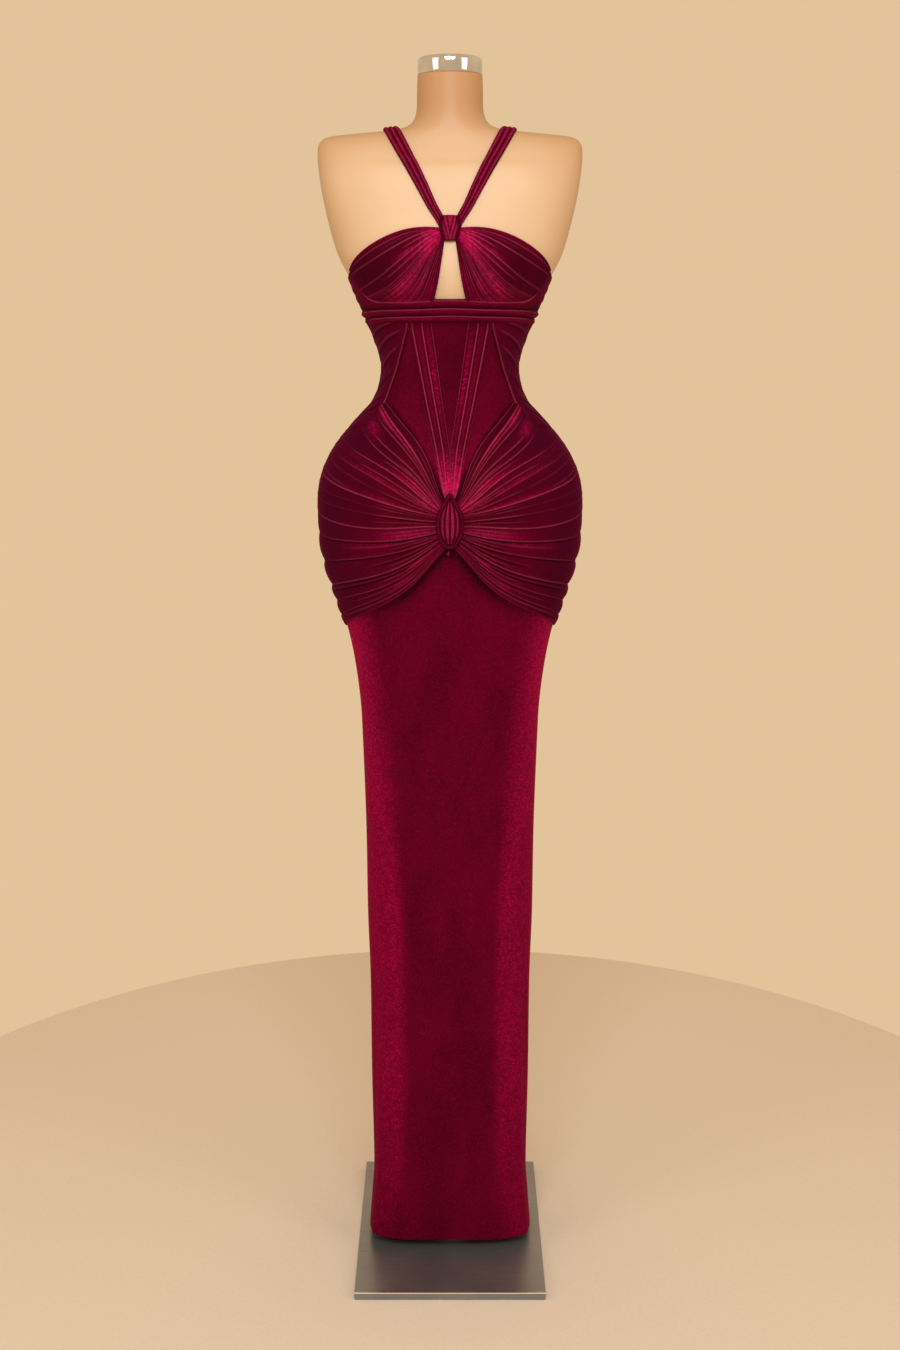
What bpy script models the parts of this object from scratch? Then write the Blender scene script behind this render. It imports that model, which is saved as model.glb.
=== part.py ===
# Evening dress on a limbless dress form with a round pole and a steel base plate.
# The dress is a long narrow column with a corset front, draped hips held by a padded
# oval ornament, pleated cups, a folded band under the bust and pleated halter straps.
# Metres, +Z up, front towards -Y. The origin is on the floor under the plate's middle.
from collections import namedtuple

import bmesh
import bpy
import numpy as np
from mathutils import Vector
from mathutils.bvhtree import BVHTree

# Overall sizes
TOTAL_HEIGHT = 1.800
PLATE_WIDTH = 0.290
PLATE_DEPTH = 0.386
PLATE_THICKNESS = 0.012
PLATE_EDGE = 0.0012
POLE_RADIUS = 0.016
FLANGE_RADIUS = 0.048
FLANGE_HEIGHT = 0.008
GAP = 0.0003
SEAM = 0.00025
QUARTER_GIRTH = 0.2
SEAM_GIRTH = SEAM / QUARTER_GIRTH
FORM_BOTTOM = 0.860
NECK_TOP = 1.7767
CAP_RADIUS = 0.0447
CAP_EDGE = 0.006

# How far each layer of cloth lies from the form
CLOTH = 0.0015
LINE_LIFT = 0.0009
CUP_LIFT = 0.0018
DRAPE_LIFT = 0.0036
DRAPE_CLOTH = 0.0016
KNOT_LIFT = 0.0044
KNOT_CLOTH = 0.0016
CORE_CLOTH = 0.0013

# Main heights
HEM_Z = 0.0265
SKIRT_TOP_Z = 1.165
BODICE_TOP_Z = 1.4384
BAND_BOTTOM_Z = 1.4388
SIDE_MEET_Z = 1.2885
BACK_MEET_Z = 1.3068
PANEL_FOOT_Z = 1.2740
STRIP_FOOT_Z = 1.2042
SIDE_FRONT_TOP_Z = 1.4372

# Cross sections of the figure. The side and middle heights differ only at the shoulders,
# where a ring is a saddle. Square is the power of the superellipse: 2 is an ellipse.
Section = namedtuple("Section", "side_z mid_z half_width front back square")

SKIRT_SECTIONS = [
    Section(0.026, 0.026, 0.1264, 0.0720, 0.0850, 4.20),
    Section(0.085, 0.085, 0.1220, 0.0730, 0.0850, 4.00),
    Section(0.140, 0.140, 0.1186, 0.0740, 0.0850, 3.80),
    Section(0.300, 0.300, 0.1206, 0.0765, 0.0860, 3.40),
    Section(0.450, 0.450, 0.1214, 0.0785, 0.0870, 3.20),
    Section(0.560, 0.560, 0.1246, 0.0800, 0.0880, 3.00),
    Section(0.700, 0.700, 0.1256, 0.0820, 0.0900, 2.80),
    Section(0.840, 0.840, 0.1292, 0.0845, 0.0940, 2.65),
    Section(0.890, 0.890, 0.1315, 0.0865, 0.0970, 2.60),
    Section(0.940, 0.940, 0.1372, 0.0910, 0.1040, 2.50),
]
TORSO_SECTIONS = [
    Section(0.990, 0.990, 0.1462, 0.0960, 0.1130, 2.40),
    Section(1.050, 1.050, 0.1624, 0.1005, 0.1250, 2.30),
    Section(1.110, 1.110, 0.1790, 0.1040, 0.1330, 2.25),
    Section(1.175, 1.175, 0.1876, 0.1060, 0.1330, 2.20),
    Section(1.220, 1.220, 0.1838, 0.1050, 0.1230, 2.20),
    Section(1.260, 1.260, 0.1666, 0.1000, 0.1090, 2.20),
    Section(1.300, 1.300, 0.1358, 0.0910, 0.0930, 2.20),
    Section(1.335, 1.335, 0.1055, 0.0820, 0.0810, 2.20),
    Section(1.380, 1.380, 0.0940, 0.0780, 0.0745, 2.20),
    Section(1.425, 1.425, 0.1058, 0.0835, 0.0785, 2.20),
    Section(1.465, 1.465, 0.1245, 0.0905, 0.0865, 2.25),
    Section(1.500, 1.500, 0.1393, 0.0950, 0.0930, 2.30),
    Section(1.535, 1.535, 0.1573, 0.0930, 0.0970, 2.40),
    Section(1.575, 1.575, 0.1692, 0.0860, 0.0980, 2.60),
    Section(1.615, 1.615, 0.1780, 0.0750, 0.0940, 2.80),
    Section(1.650, 1.650, 0.1830, 0.0650, 0.0850, 3.00),
]
FORM_FOOT_SECTIONS = [
    Section(0.860, 0.860, 0.1140, 0.0720, 0.0820, 2.60),
    Section(0.868, 0.868, 0.1258, 0.0815, 0.0915, 2.60),
    Section(0.890, 0.890, 0.1295, 0.0850, 0.0955, 2.60),
    Section(0.940, 0.940, 0.1362, 0.0902, 0.1032, 2.50),
]
SHOULDER_SECTIONS = [
    Section(1.6720, 1.6620, 0.1842, 0.0590, 0.0780, 3.00),
    Section(1.6860, 1.6720, 0.1815, 0.0550, 0.0720, 3.00),
    Section(1.6945, 1.6810, 0.1700, 0.0520, 0.0660, 2.80),
    Section(1.6985, 1.6890, 0.1400, 0.0500, 0.0610, 2.60),
    Section(1.7015, 1.6970, 0.1050, 0.0485, 0.0570, 2.40),
    Section(1.7050, 1.7050, 0.0720, 0.0475, 0.0530, 2.20),
    Section(1.7135, 1.7135, 0.0535, 0.0465, 0.0490, 2.10),
    Section(1.7290, 1.7290, 0.0466, 0.0455, 0.0470, 2.00),
    Section(1.7550, 1.7550, 0.0456, 0.0450, 0.0455, 2.00),
    Section(NECK_TOP, NECK_TOP, 0.0448, 0.0448, 0.0448, 2.00),
]
SHELL = np.array(SKIRT_SECTIONS + TORSO_SECTIONS)
FORM = np.array(FORM_FOOT_SECTIONS + TORSO_SECTIONS + SHOULDER_SECTIONS)

# The form is a little slimmer than the dress where the dress hides it
FORM_EASE = 0.0026
EASE_FROM_Z = 1.440
EASE_TO_Z = 1.500
# Rings of the form, as places among its sections, and its columns before and behind the side
FORM_RINGS = [0, 1, 3, 4, 6, 7, 8, 9, 10, 11, 11.5, 12, 12.5, 13, 13.5, 14, 14.4, 14.8, 15.2, 15.6, 16,
              16.5, 17, 18, 19, 20, 21, 22, 23, 24, 25, 26, 27.5, 29]
FORM_FRONT_COLUMNS = 20
FORM_BACK_COLUMNS = 12

# The bust is two soft round rises on the front
BUST_X = 0.068
BUST_Z = 1.512
BUST_WIDE = 0.042
BUST_TALL = 0.040
BUST_UNDER_CLOTH = 0.030
BUST_OF_FORM = 0.0265

# Seam lines of the half of the front at the wearer's left (+X), top to bottom, as seen from
# the front. The side front runs on under the hip drape.
SeamPoint = namedtuple("SeamPoint", "x z")
CENTRE_SEAM = [
    SeamPoint(0.0243, 1.4384),
    SeamPoint(0.0120, 1.3480),
    SeamPoint(0.0002, 1.2680),
    SeamPoint(0.0001, 1.2040),
]
PLEAT_SEAM = [
    SeamPoint(0.0573, 1.4384),
    SeamPoint(0.0352, 1.3255),
    SeamPoint(0.0223, 1.2662),
    SeamPoint(0.0105, 1.2139),
    SeamPoint(0.0068, 1.2040),
]
SIDE_FRONT_SEAM = [
    SeamPoint(0.0580, 1.4384),
    SeamPoint(0.0643, 1.4139),
    SeamPoint(0.0734, 1.3790),
    SeamPoint(0.0874, 1.3395),
    SeamPoint(0.0880, 1.3362),
    SeamPoint(0.0870, 1.3300),
    SeamPoint(0.0590, 1.2885),
    SeamPoint(0.0490, 1.2755),
    SeamPoint(0.0345, 1.2455),
    SeamPoint(0.0205, 1.2140),
    SeamPoint(0.0150, 1.2040),
]
SIDE_DRAPE_EDGE = [
    SeamPoint(0.0580, 1.4384),
    SeamPoint(0.0643, 1.4139),
    SeamPoint(0.0734, 1.3790),
    SeamPoint(0.0874, 1.3395),
    SeamPoint(0.0935, 1.3300),
    SeamPoint(0.1205, 1.3015),
]
# The band's top edge: it follows the cups' lower edge and rises beside them to a point
BandPoint = namedtuple("BandPoint", "girth z")
BAND_TOP = [
    BandPoint(0.000, 1.4746),
    BandPoint(0.120, 1.4748),
    BandPoint(0.250, 1.4744),
    BandPoint(0.380, 1.4742),
    BandPoint(0.525, 1.4744),
    BandPoint(0.610, 1.4772),
    BandPoint(0.690, 1.4799),
    BandPoint(0.776, 1.4921),
    BandPoint(0.800, 1.5020),
    BandPoint(0.880, 1.5055),
    BandPoint(1.000, 1.5060),
    BandPoint(1.120, 1.5020),
    BandPoint(1.250, 1.4940),
    BandPoint(1.500, 1.4820),
    BandPoint(2.000, 1.4700),
]
# Pleats that fan out from one end, each through four points as seen from the front.
# An end x beyond the figure's half width means the side seam. Height is how far the fold
# stands out along its middle, side_height at its outer end, and back_z is where it meets
# the centre back.
Pleat = namedtuple("Pleat", "x0 z0 x1 z1 x2 z2 x3 z3 height side_height back_z")
SIDE = 0.5
HIP_PLEATS = [
    Pleat(0.0085, 1.2000, 0.0255, 1.2440, 0.0505, 1.2890, 0.0873, 1.3325, 0.0014, 0.0012, None),
    Pleat(0.0100, 1.1965, 0.0335, 1.2390, 0.0620, 1.2850, 0.0935, 1.3285, 0.0016, 0.0012, None),
    Pleat(0.0115, 1.1930, 0.0370, 1.2360, 0.0690, 1.2775, 0.1010, 1.3200, 0.0016, 0.0012, None),
    Pleat(0.0130, 1.1905, 0.0440, 1.2265, 0.0840, 1.2575, 0.1205, 1.3005, 0.0016, 0.0012, None),
    Pleat(0.0145, 1.1880, 0.0600, 1.2240, 0.1120, 1.2560, SIDE, 1.2880, 0.0016, 0.0008, 1.3060),
    Pleat(0.0158, 1.1845, 0.0700, 1.2110, 0.1270, 1.2420, SIDE, 1.2680, 0.0018, 0.0008, 1.2860),
    Pleat(0.0168, 1.1805, 0.0720, 1.1925, 0.1360, 1.2110, SIDE, 1.2370, 0.0020, 0.0008, 1.2630),
    Pleat(0.0172, 1.1770, 0.0720, 1.1850, 0.1370, 1.1980, SIDE, 1.2180, 0.0018, 0.0008, 1.2400),
    Pleat(0.0175, 1.1725, 0.0720, 1.1775, 0.1370, 1.1850, SIDE, 1.2010, 0.0018, 0.0008, 1.2170),
    Pleat(0.0175, 1.1660, 0.0720, 1.1630, 0.1380, 1.1628, SIDE, 1.1825, 0.0020, 0.0012, 1.1920),
    Pleat(0.0172, 1.1580, 0.0700, 1.1465, 0.1370, 1.1415, SIDE, 1.1455, 0.0022, 0.0030, 1.1620),
    Pleat(0.0158, 1.1505, 0.0690, 1.1300, 0.1340, 1.1160, SIDE, 1.1020, 0.0026, 0.0042, 1.1280),
    Pleat(0.0135, 1.1460, 0.0640, 1.1110, 0.1250, 1.0870, SIDE, 1.0655, 0.0022, 0.0030, 1.0950),
    Pleat(0.0110, 1.1420, 0.0590, 1.0985, 0.1190, 1.0680, SIDE, 1.0415, 0.0024, 0.0034, 1.0680),
    Pleat(0.0080, 1.1390, 0.0530, 1.0925, 0.1120, 1.0545, SIDE, 1.0190, 0.0018, 0.0024, 1.0440),
    Pleat(0.0050, 1.1355, 0.0480, 1.0860, 0.1060, 1.0435, SIDE, 1.0037, 0.0006, 0.0006, 1.0240),
]
CUP_PLEATS = [
    Pleat(0.0165, 1.5698, 0.0560, 1.5675, 0.1000, 1.5505, 0.1379, 1.5185, 0.0010, 0.0005, None),
    Pleat(0.0164, 1.5678, 0.0545, 1.5600, 0.0965, 1.5390, 0.1368, 1.5115, 0.0020, 0.0010, None),
    Pleat(0.0161, 1.5657, 0.0515, 1.5510, 0.0915, 1.5260, 0.1350, 1.5030, 0.0022, 0.0011, None),
    Pleat(0.0156, 1.5636, 0.0480, 1.5420, 0.0855, 1.5130, 0.1300, 1.4925, 0.0022, 0.0011, None),
    Pleat(0.0149, 1.5615, 0.0435, 1.5330, 0.0770, 1.5010, 0.1190, 1.4805, 0.0022, 0.0011, None),
    Pleat(0.0141, 1.5594, 0.0385, 1.5265, 0.0660, 1.4930, 0.0980, 1.4750, 0.0022, 0.0011, None),
    Pleat(0.0131, 1.5573, 0.0325, 1.5215, 0.0530, 1.4885, 0.0740, 1.4748, 0.0022, 0.0011, None),
    Pleat(0.0119, 1.5552, 0.0250, 1.5185, 0.0370, 1.4870, 0.0480, 1.4750, 0.0020, 0.0010, None),
    Pleat(0.0106, 1.5535, 0.0145, 1.5280, 0.0185, 1.4990, 0.0225, 1.4756, 0.0016, 0.0008, None),
]

# The left strap's middle line, from the knot over the shoulder to the back of the band
StrapPoint = namedtuple("StrapPoint", "x y z width")
STRAP_LINE = [
    StrapPoint(0.0150, -0.090, 1.5865, 0.0125),
    StrapPoint(0.0255, -0.085, 1.6030, 0.0140),
    StrapPoint(0.0385, -0.075, 1.6280, 0.0165),
    StrapPoint(0.0520, -0.065, 1.6530, 0.0185),
    StrapPoint(0.0660, -0.055, 1.6780, 0.0200),
    StrapPoint(0.0790, -0.035, 1.7000, 0.0210),
    StrapPoint(0.0830, 0.000, 1.7100, 0.0210),
    StrapPoint(0.0810, 0.040, 1.7000, 0.0205),
    StrapPoint(0.0760, 0.075, 1.6750, 0.0200),
    StrapPoint(0.0690, 0.095, 1.6300, 0.0190),
    StrapPoint(0.0610, 0.100, 1.5700, 0.0180),
    StrapPoint(0.0545, 0.098, 1.5200, 0.0175),
    StrapPoint(0.0500, 0.090, 1.4790, 0.0170),
]
STRAP_LIFT = 0.0018
STRAP_STOPS = [0, 0.7, 1.4, 2.1, 2.8, 3.5, 4.1, 4.6, 5, 5.4, 5.7, 6, 6.3, 6.6, 7, 7.4, 7.8, 8.2, 8.6, 9, 9.4,
               9.8, 10.3, 10.8, 11.4, 12]
STRAP_STRANDS = 3
STRAP_RISE = 0.0018

# The oval ornament: its outline from its point down, half widths as seen from the front
ORNAMENT_LIFT = 0.0086
ORNAMENT_RIM = 0.0031
ORNAMENT_OUTLINE = [
    SeamPoint(0.0000, 1.2095),
    SeamPoint(0.0045, 1.2030),
    SeamPoint(0.0095, 1.1935),
    SeamPoint(0.0140, 1.1845),
    SeamPoint(0.0161, 1.1760),
    SeamPoint(0.0163, 1.1680),
    SeamPoint(0.0155, 1.1590),
    SeamPoint(0.0125, 1.1490),
    SeamPoint(0.0070, 1.1410),
    SeamPoint(0.0000, 1.1375),
]
CORE_TOP_Z = 1.2000
CORE_BOTTOM_Z = 1.1440
CORE_RISE = 0.0028
CORE_STRAND_HEIGHT = 0.0014
TIE_Z = 1.1275
TIE_HALF_SIZE = (0.0056, 0.0030, 0.0036)

# Parting of pleats: a crest at each whole number and the foot of its drop after it
FOOT_STOP = 0.32
PLEAT_RISE = 0.0005

# Upright folds of the skirt: where they lie round the girth and how far they stand out
TURN_FOLD_GIRTH = 0.57
TURN_FOLD_SHIFT = 0.125
TURN_FOLD_WIDTH = 0.06
TURN_FOLD_HEIGHT = 0.0032
BACK_FOLDS = 3
BACK_FOLD_HEIGHT = 0.0030

# Raised folds of the corset, the band and the knot
STRIP_FOLDS = 4
STRIP_RISE = 0.0016
SIDE_FOLDS = 2.5
SIDE_FOLD_SLANT = 0.9
SIDE_FOLD_HEIGHT = 0.0016
SIDE_RISE = 0.0009
BACK_SWELL = 0.0024
BAND_FOLDS = 3
BAND_FOLD_HEIGHT = 0.0034
BAND_RISE = 0.0006
BAND_BOW = 0.0022
KNOT_BOTTOM_Z = 1.5530
KNOT_TOP_Z = 1.5850
KNOT_HALF_WIDTHS = (0.0105, 0.0135, 0.0155, 0.0135)
KNOT_SWELL = 0.0018
KNOT_PLEAT_HEIGHT = 0.0008

COLOURS = {
    "wine_velvet": ((0.085, 0.002, 0.012), 0.80, 0.0),
    "form_skin": ((0.80, 0.56, 0.36), 0.45, 0.0),
    "chrome": ((0.80, 0.80, 0.82), 0.08, 1.0),
    "brushed_steel": ((0.52, 0.50, 0.48), 0.32, 1.0),
}


def clear_scene():
    for thing in list(bpy.data.objects):
        bpy.data.objects.remove(thing, do_unlink=True)


def make_materials():
    made = {}
    for name, (colour, roughness, metallic) in COLOURS.items():
        material = bpy.data.materials.new(name)
        material.use_nodes = True
        shader = material.node_tree.nodes["Principled BSDF"]
        shader.inputs["Base Color"].default_value = (*colour, 1.0)
        shader.inputs["Roughness"].default_value = roughness
        shader.inputs["Metallic"].default_value = metallic
        made[name] = material
    return made


def through(values, t):
    """Catmull-Rom curve through the rows of values, t counted in rows."""
    values = np.asarray(values, float)
    last = len(values) - 1
    t = np.clip(np.asarray(t, float), 0, last)
    i = np.minimum(t.astype(int), last - 1)
    f = t - i
    a = values[np.maximum(i - 1, 0)]
    b = values[i]
    c = values[i + 1]
    d = values[np.minimum(i + 2, last)]
    if values.ndim > 1:
        f = f[..., None]
    bend = (c - a) * f + (2 * a - 5 * b + 4 * c - d) * f**2 + (3 * b - a - 3 * c + d) * f**3
    return b + 0.5 * bend


def round_share(girth, square):
    """Share of the half width and of the depth at a girth: 0 front, 1 side, 2 back."""
    angle = np.abs(girth) * np.pi / 2
    across, along = np.sin(angle), np.cos(angle)
    reach = (np.abs(along) ** square + np.abs(across) ** square) ** (-1 / square)
    return across * reach, along * reach


def ring(sections, girth, t, bust):
    """Points of the figure at a girth and a place t among its sections."""
    row = through(sections, t)
    side_z, mid_z, half_width, front, back, square = [row[..., k] for k in range(6)]
    across, along = round_share(girth, square)
    x = across * half_width
    y = np.where(along > 0, -front * along, -back * along)
    z = side_z + (mid_z - side_z) * along**2
    high = np.exp(-(((z - BUST_Z) / BUST_TALL) ** 2))
    wide = np.exp(-(((x - BUST_X) / BUST_WIDE) ** 2)) + np.exp(-(((x + BUST_X) / BUST_WIDE) ** 2))
    y = y - bust * high * wide * np.clip(along, 0, 1)
    return np.stack([x * np.where(girth < 0, -1.0, 1.0), y, z], -1)


SHELL_T = np.linspace(0, len(SHELL) - 1, 4000)
SHELL_Z = through(SHELL[:, 0], SHELL_T)


def figure(girth, z):
    return ring(SHELL, girth, np.interp(z, SHELL_Z, SHELL_T), BUST_UNDER_CLOTH)


def cloth(girth, z, out):
    """Point at a girth and height, moved out from the figure along its normal."""
    girth, z, out = np.broadcast_arrays(girth, z, out)
    step = 0.0002
    across = figure(girth + 2 * step, z) - figure(girth - 2 * step, z)
    up = figure(girth, z + step) - figure(girth, z - step)
    normal = np.cross(across, up)
    normal /= np.linalg.norm(normal, axis=-1, keepdims=True)
    return figure(girth, z) + normal * out[..., None]


def girth_at(x, z):
    """Girth of the front point at x and height z, 1 where x is past the side."""
    row = through(SHELL, np.interp(z, SHELL_Z, SHELL_T))
    across = np.clip(np.abs(x) / row[..., 2], 0, 1)
    along = (1 - across ** row[..., 5]) ** (1 / row[..., 5])
    return np.arctan2(across, along) / (np.pi / 2) * np.where(x < 0, -1.0, 1.0)


def seam_girth(points, z):
    """Girth of a seam line at a height."""
    points = np.array(points)[::-1]
    return girth_at(np.interp(z, points[:, 1], points[:, 0]), z)


def pleat_wave(v):
    """1 on a crest, which is at every whole v, and 0 at the foot of its drop."""
    return np.interp(v - np.floor(v), (0, FOOT_STOP, 1), (1, 0, 1))


def link(thing, material):
    thing.data.materials.append(material)
    collection.objects.link(thing)
    return thing


def grid_wall(name, across, along, shape, material):
    """Closed wall from a grid of stops, shape(u, v, outer) giving its two faces."""
    wall = bmesh.new()
    columns, rows = len(across) - 1, len(along) - 1
    bmesh.ops.create_grid(wall, x_segments=columns, y_segments=rows, size=0.5)
    inner = list(wall.verts)
    grown = bmesh.ops.extrude_face_region(wall, geom=list(wall.faces))
    outer = [piece for piece in grown["geom"] if isinstance(piece, bmesh.types.BMVert)]
    for verts, is_outer in ((inner, False), (outer, True)):
        flat = np.array([vert.co[:2] for vert in verts]) + 0.5
        u = np.asarray(across, float)[np.rint(flat[:, 0] * columns).astype(int)]
        v = np.asarray(along, float)[np.rint(flat[:, 1] * rows).astype(int)]
        for vert, point in zip(verts, shape(u, v, is_outer)):
            vert.co = point
    bmesh.ops.recalc_face_normals(wall, faces=list(wall.faces))
    if wall.calc_volume(signed=True) < 0:
        bmesh.ops.reverse_faces(wall, faces=list(wall.faces))
    mesh = bpy.data.meshes.new(name)
    wall.to_mesh(mesh)
    wall.free()
    mesh.shade_smooth()
    return link(bpy.data.objects.new(name, mesh), material)


def body_wall(name, across, along, place, lift, thick, material, relief=None, wave=None):
    """Wall on the figure: place(u, v) gives girth and height, relief only the outer face."""

    def shape(u, v, is_outer):
        girth, z = place(u, v)
        out = np.full(len(u), lift)
        if wave is not None:
            out = out + wave(girth, z)
        if is_outer:
            out = out + thick
            if relief is not None:
                out = out + relief(u, v)
        return cloth(girth, z, out)

    return grid_wall(name, across, along, shape, material)


def both_sides(build):
    """Runs a builder for the wearer's left (+X) and right (-X) side."""
    build("left", 1.0)
    build("right", -1.0)


def ramp(value, low, high):
    """0 below low and 1 above high, smooth between."""
    t = np.clip((value - low) / (high - low), 0, 1)
    return t * t * (3 - 2 * t)


def skirt_wave(girth, z):
    """Soft upright folds: one where the front turns, three on each half of the back."""
    g = np.abs(girth)
    turn = TURN_FOLD_GIRTH - TURN_FOLD_SHIFT * ramp(z, 0.03, 0.70)
    front = TURN_FOLD_HEIGHT * np.exp(-(((g - turn) / TURN_FOLD_WIDTH) ** 2)) * (1 - ramp(z, 0.45, 0.80))
    back = BACK_FOLD_HEIGHT * (1 + np.sin(2 * np.pi * (g - 1.0) * BACK_FOLDS))
    back = back * ramp(g, 1.02, 1.15) * (1 - ramp(z, 0.25, 0.85))
    return front + back * (1 - 0.6 * ramp(g, 1.93, 2.0))


def back_girth(u):
    """Girth of a back piece at its share u from the side seam to the centre back seam."""
    return 1 + SEAM_GIRTH + (1 - 2 * SEAM_GIRTH) * u


def build_skirt():
    half = [0.0, 0.20, 0.36, 0.46, 0.54, 0.62, 0.70, 0.80, 0.90, 1.0]
    across = [-g for g in half[:0:-1]] + half
    along = [0, 0.05, 0.15, 0.27, 0.40, 0.53, 0.65, 0.735, 0.785, 0.83, 0.88, 0.93, 0.965, 1]

    def front_place(u, v):
        return u * (1 - SEAM_GIRTH), HEM_Z + (SKIRT_TOP_Z - HEM_Z) * v

    body_wall("skirt_front", across, along, front_place, LINE_LIFT, CLOTH, velvet, wave=skirt_wave)

    def back(side, sign):
        def place(u, v):
            return back_girth(u) * sign, HEM_Z + (SKIRT_TOP_Z - HEM_Z) * v

        columns = [0, 0.09, 0.18, 0.28, 0.39, 0.51, 0.63, 0.75, 0.88, 1]
        body_wall(f"skirt_back_{side}", columns, along, place, LINE_LIFT, CLOTH, velvet, wave=skirt_wave)

    both_sides(back)


def between_seams(inner_seam, outer_seam, u, z):
    """Girth at the share u of the way from one seam line to another, clear of both."""
    inner = seam_girth(inner_seam, z) + SEAM_GIRTH
    outer = seam_girth(outer_seam, z) - SEAM_GIRTH
    return inner + (outer - inner) * u


def build_centre_panel():
    def place(u, v):
        z = BODICE_TOP_Z + (PANEL_FOOT_Z - BODICE_TOP_Z) * v
        return (seam_girth(CENTRE_SEAM, z) - SEAM_GIRTH) * u, z

    across = [-1, -0.5, 0, 0.5, 1]
    body_wall("centre_front_panel", across, np.linspace(0, 1, 9), place, LINE_LIFT, CLOTH, velvet)


def build_front_pleats():
    def strip(side, sign):
        def place(u, v):
            z = BODICE_TOP_Z + (STRIP_FOOT_Z - BODICE_TOP_Z) * v
            return between_seams(CENTRE_SEAM, PLEAT_SEAM, u, z) * sign, z

        def relief(u, v):
            fold = 0.5 - 0.5 * np.cos(2 * np.pi * u * STRIP_FOLDS)
            return STRIP_RISE * fold * (1 - 0.8 * ramp(v, 0.7, 0.95))

        across, along = np.linspace(0, 1, 2 * STRIP_FOLDS + 1), np.linspace(0, 1, 11)
        body_wall(f"front_pleats_{side}", across, along, place, LINE_LIFT, CLOTH, velvet, relief)

    both_sides(strip)


def build_side_fronts():
    def side_front(side, sign):
        def place(u, v):
            z = SIDE_FRONT_TOP_Z + (STRIP_FOOT_Z - SIDE_FRONT_TOP_Z) * v
            return between_seams(PLEAT_SEAM, SIDE_FRONT_SEAM, u, z) * sign, z

        along = [0, 0.1, 0.22, 0.34, 0.419, 0.433, 0.46, 0.55, 0.67, 0.78, 0.9, 1]
        body_wall(f"side_front_{side}", [0, 0.33, 0.67, 1], along, place, LINE_LIFT, CLOTH, velvet)

    both_sides(side_front)


def build_side_drapes():
    def side_drape(side, sign):
        def place(u, v):
            order = np.linspace(0, 1, len(SIDE_DRAPE_EDGE))
            edge_x, edge_z = [np.interp(v, order, row) for row in np.array(SIDE_DRAPE_EDGE).T]
            inner = girth_at(edge_x, edge_z) + SEAM_GIRTH
            outer_z = BODICE_TOP_Z + (SIDE_MEET_Z + 2 * GAP - BODICE_TOP_Z) * v
            return (inner + (1 - SEAM_GIRTH - inner) * u) * sign, edge_z + (outer_z - edge_z) * u + GAP * v

        def relief(u, v):
            soft = 0.5 - 0.5 * np.cos(2 * np.pi * (SIDE_FOLDS * v + SIDE_FOLD_SLANT * u))
            return 0.0010 + SIDE_FOLD_HEIGHT * soft * ramp(u, 0.0, 0.5) + SIDE_RISE * ramp(u, 0.3, 0.9)

        columns, rows = np.linspace(0, 1, 8), np.linspace(0, 1, 11)
        body_wall(f"side_drape_{side}", columns, rows, place, LINE_LIFT, CLOTH, velvet, relief)

    both_sides(side_drape)


def build_bodice_backs():
    def bodice_back(side, sign):
        def place(u, v):
            bottom = SIDE_MEET_Z + (BACK_MEET_Z - SIDE_MEET_Z) * ramp(u, 0, 1) + 0.0008
            return back_girth(u) * sign, BODICE_TOP_Z + (bottom - BODICE_TOP_Z) * v

        def relief(u, v):
            return BACK_SWELL * (1 - ramp(u, 0.0, 0.7))

        columns, rows = np.linspace(0, 1, 8), np.linspace(0, 1, 9)
        body_wall(f"bodice_back_{side}", columns, rows, place, LINE_LIFT, CLOTH, velvet, relief)

    both_sides(bodice_back)


def build_band():
    """Three lying folds: the wall is plain inside and each fold swells outside."""
    along = np.linspace(0, 1, 2 * BAND_FOLDS + 1)

    def height(girth, v):
        top = np.interp(np.abs(girth), *np.array(BAND_TOP).T)
        bow = BAND_BOW * np.exp(-((girth / 0.25) ** 2)) * v * (1 - v)
        return BAND_BOTTOM_Z + (top - BAND_BOTTOM_Z) * v + bow

    def relief(u, v):
        return BAND_FOLD_HEIGHT * (0.5 - 0.5 * np.cos(2 * np.pi * v * BAND_FOLDS)) + BAND_RISE

    def front_place(u, v):
        girth = u * (1 - SEAM_GIRTH)
        return girth, height(girth, v)

    half = [row.girth for row in BAND_TOP if row.girth <= 1]
    columns = [-g for g in half[:0:-1]] + half
    body_wall("band_front", columns, along, front_place, LINE_LIFT, CLOTH, velvet, relief)

    def back(side, sign):
        def place(u, v):
            girth = back_girth(u) * sign
            return girth, height(girth, v)

        body_wall(f"band_back_{side}", np.linspace(0, 1, 9), along, place, LINE_LIFT, CLOTH, velvet, relief)

    both_sides(back)


def fan_place(pleats, u, v):
    """Girth and height at u along the pleats and v counted in pleats: a cubic through four stations."""
    i = np.minimum(v.astype(int), len(pleats) - 2)
    f = v - i
    stations = []
    for k in range(4):
        x = np.array([row[2 * k] for row in pleats])
        z = np.array([row[2 * k + 1] for row in pleats])
        girth = girth_at(x, z)
        stations.append((girth[i] + (girth[i + 1] - girth[i]) * f, z[i] + (z[i + 1] - z[i]) * f))
    t = u * 3
    shares = [(t - 1) * (t - 2) * (t - 3) / -6, t * (t - 2) * (t - 3) / 2, t * (t - 1) * (t - 3) / -2,
              t * (t - 1) * (t - 2) / 6]
    girth = sum(share * station[0] for share, station in zip(shares, stations))
    height = sum(share * station[1] for share, station in zip(shares, stations))
    return girth, height


def fan_stops(count):
    """Grid stops across the pleats, in pleats: a crest and a foot for each."""
    return [k + stop for k in range(count - 1) for stop in (0, FOOT_STOP)] + [count - 1]


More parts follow.
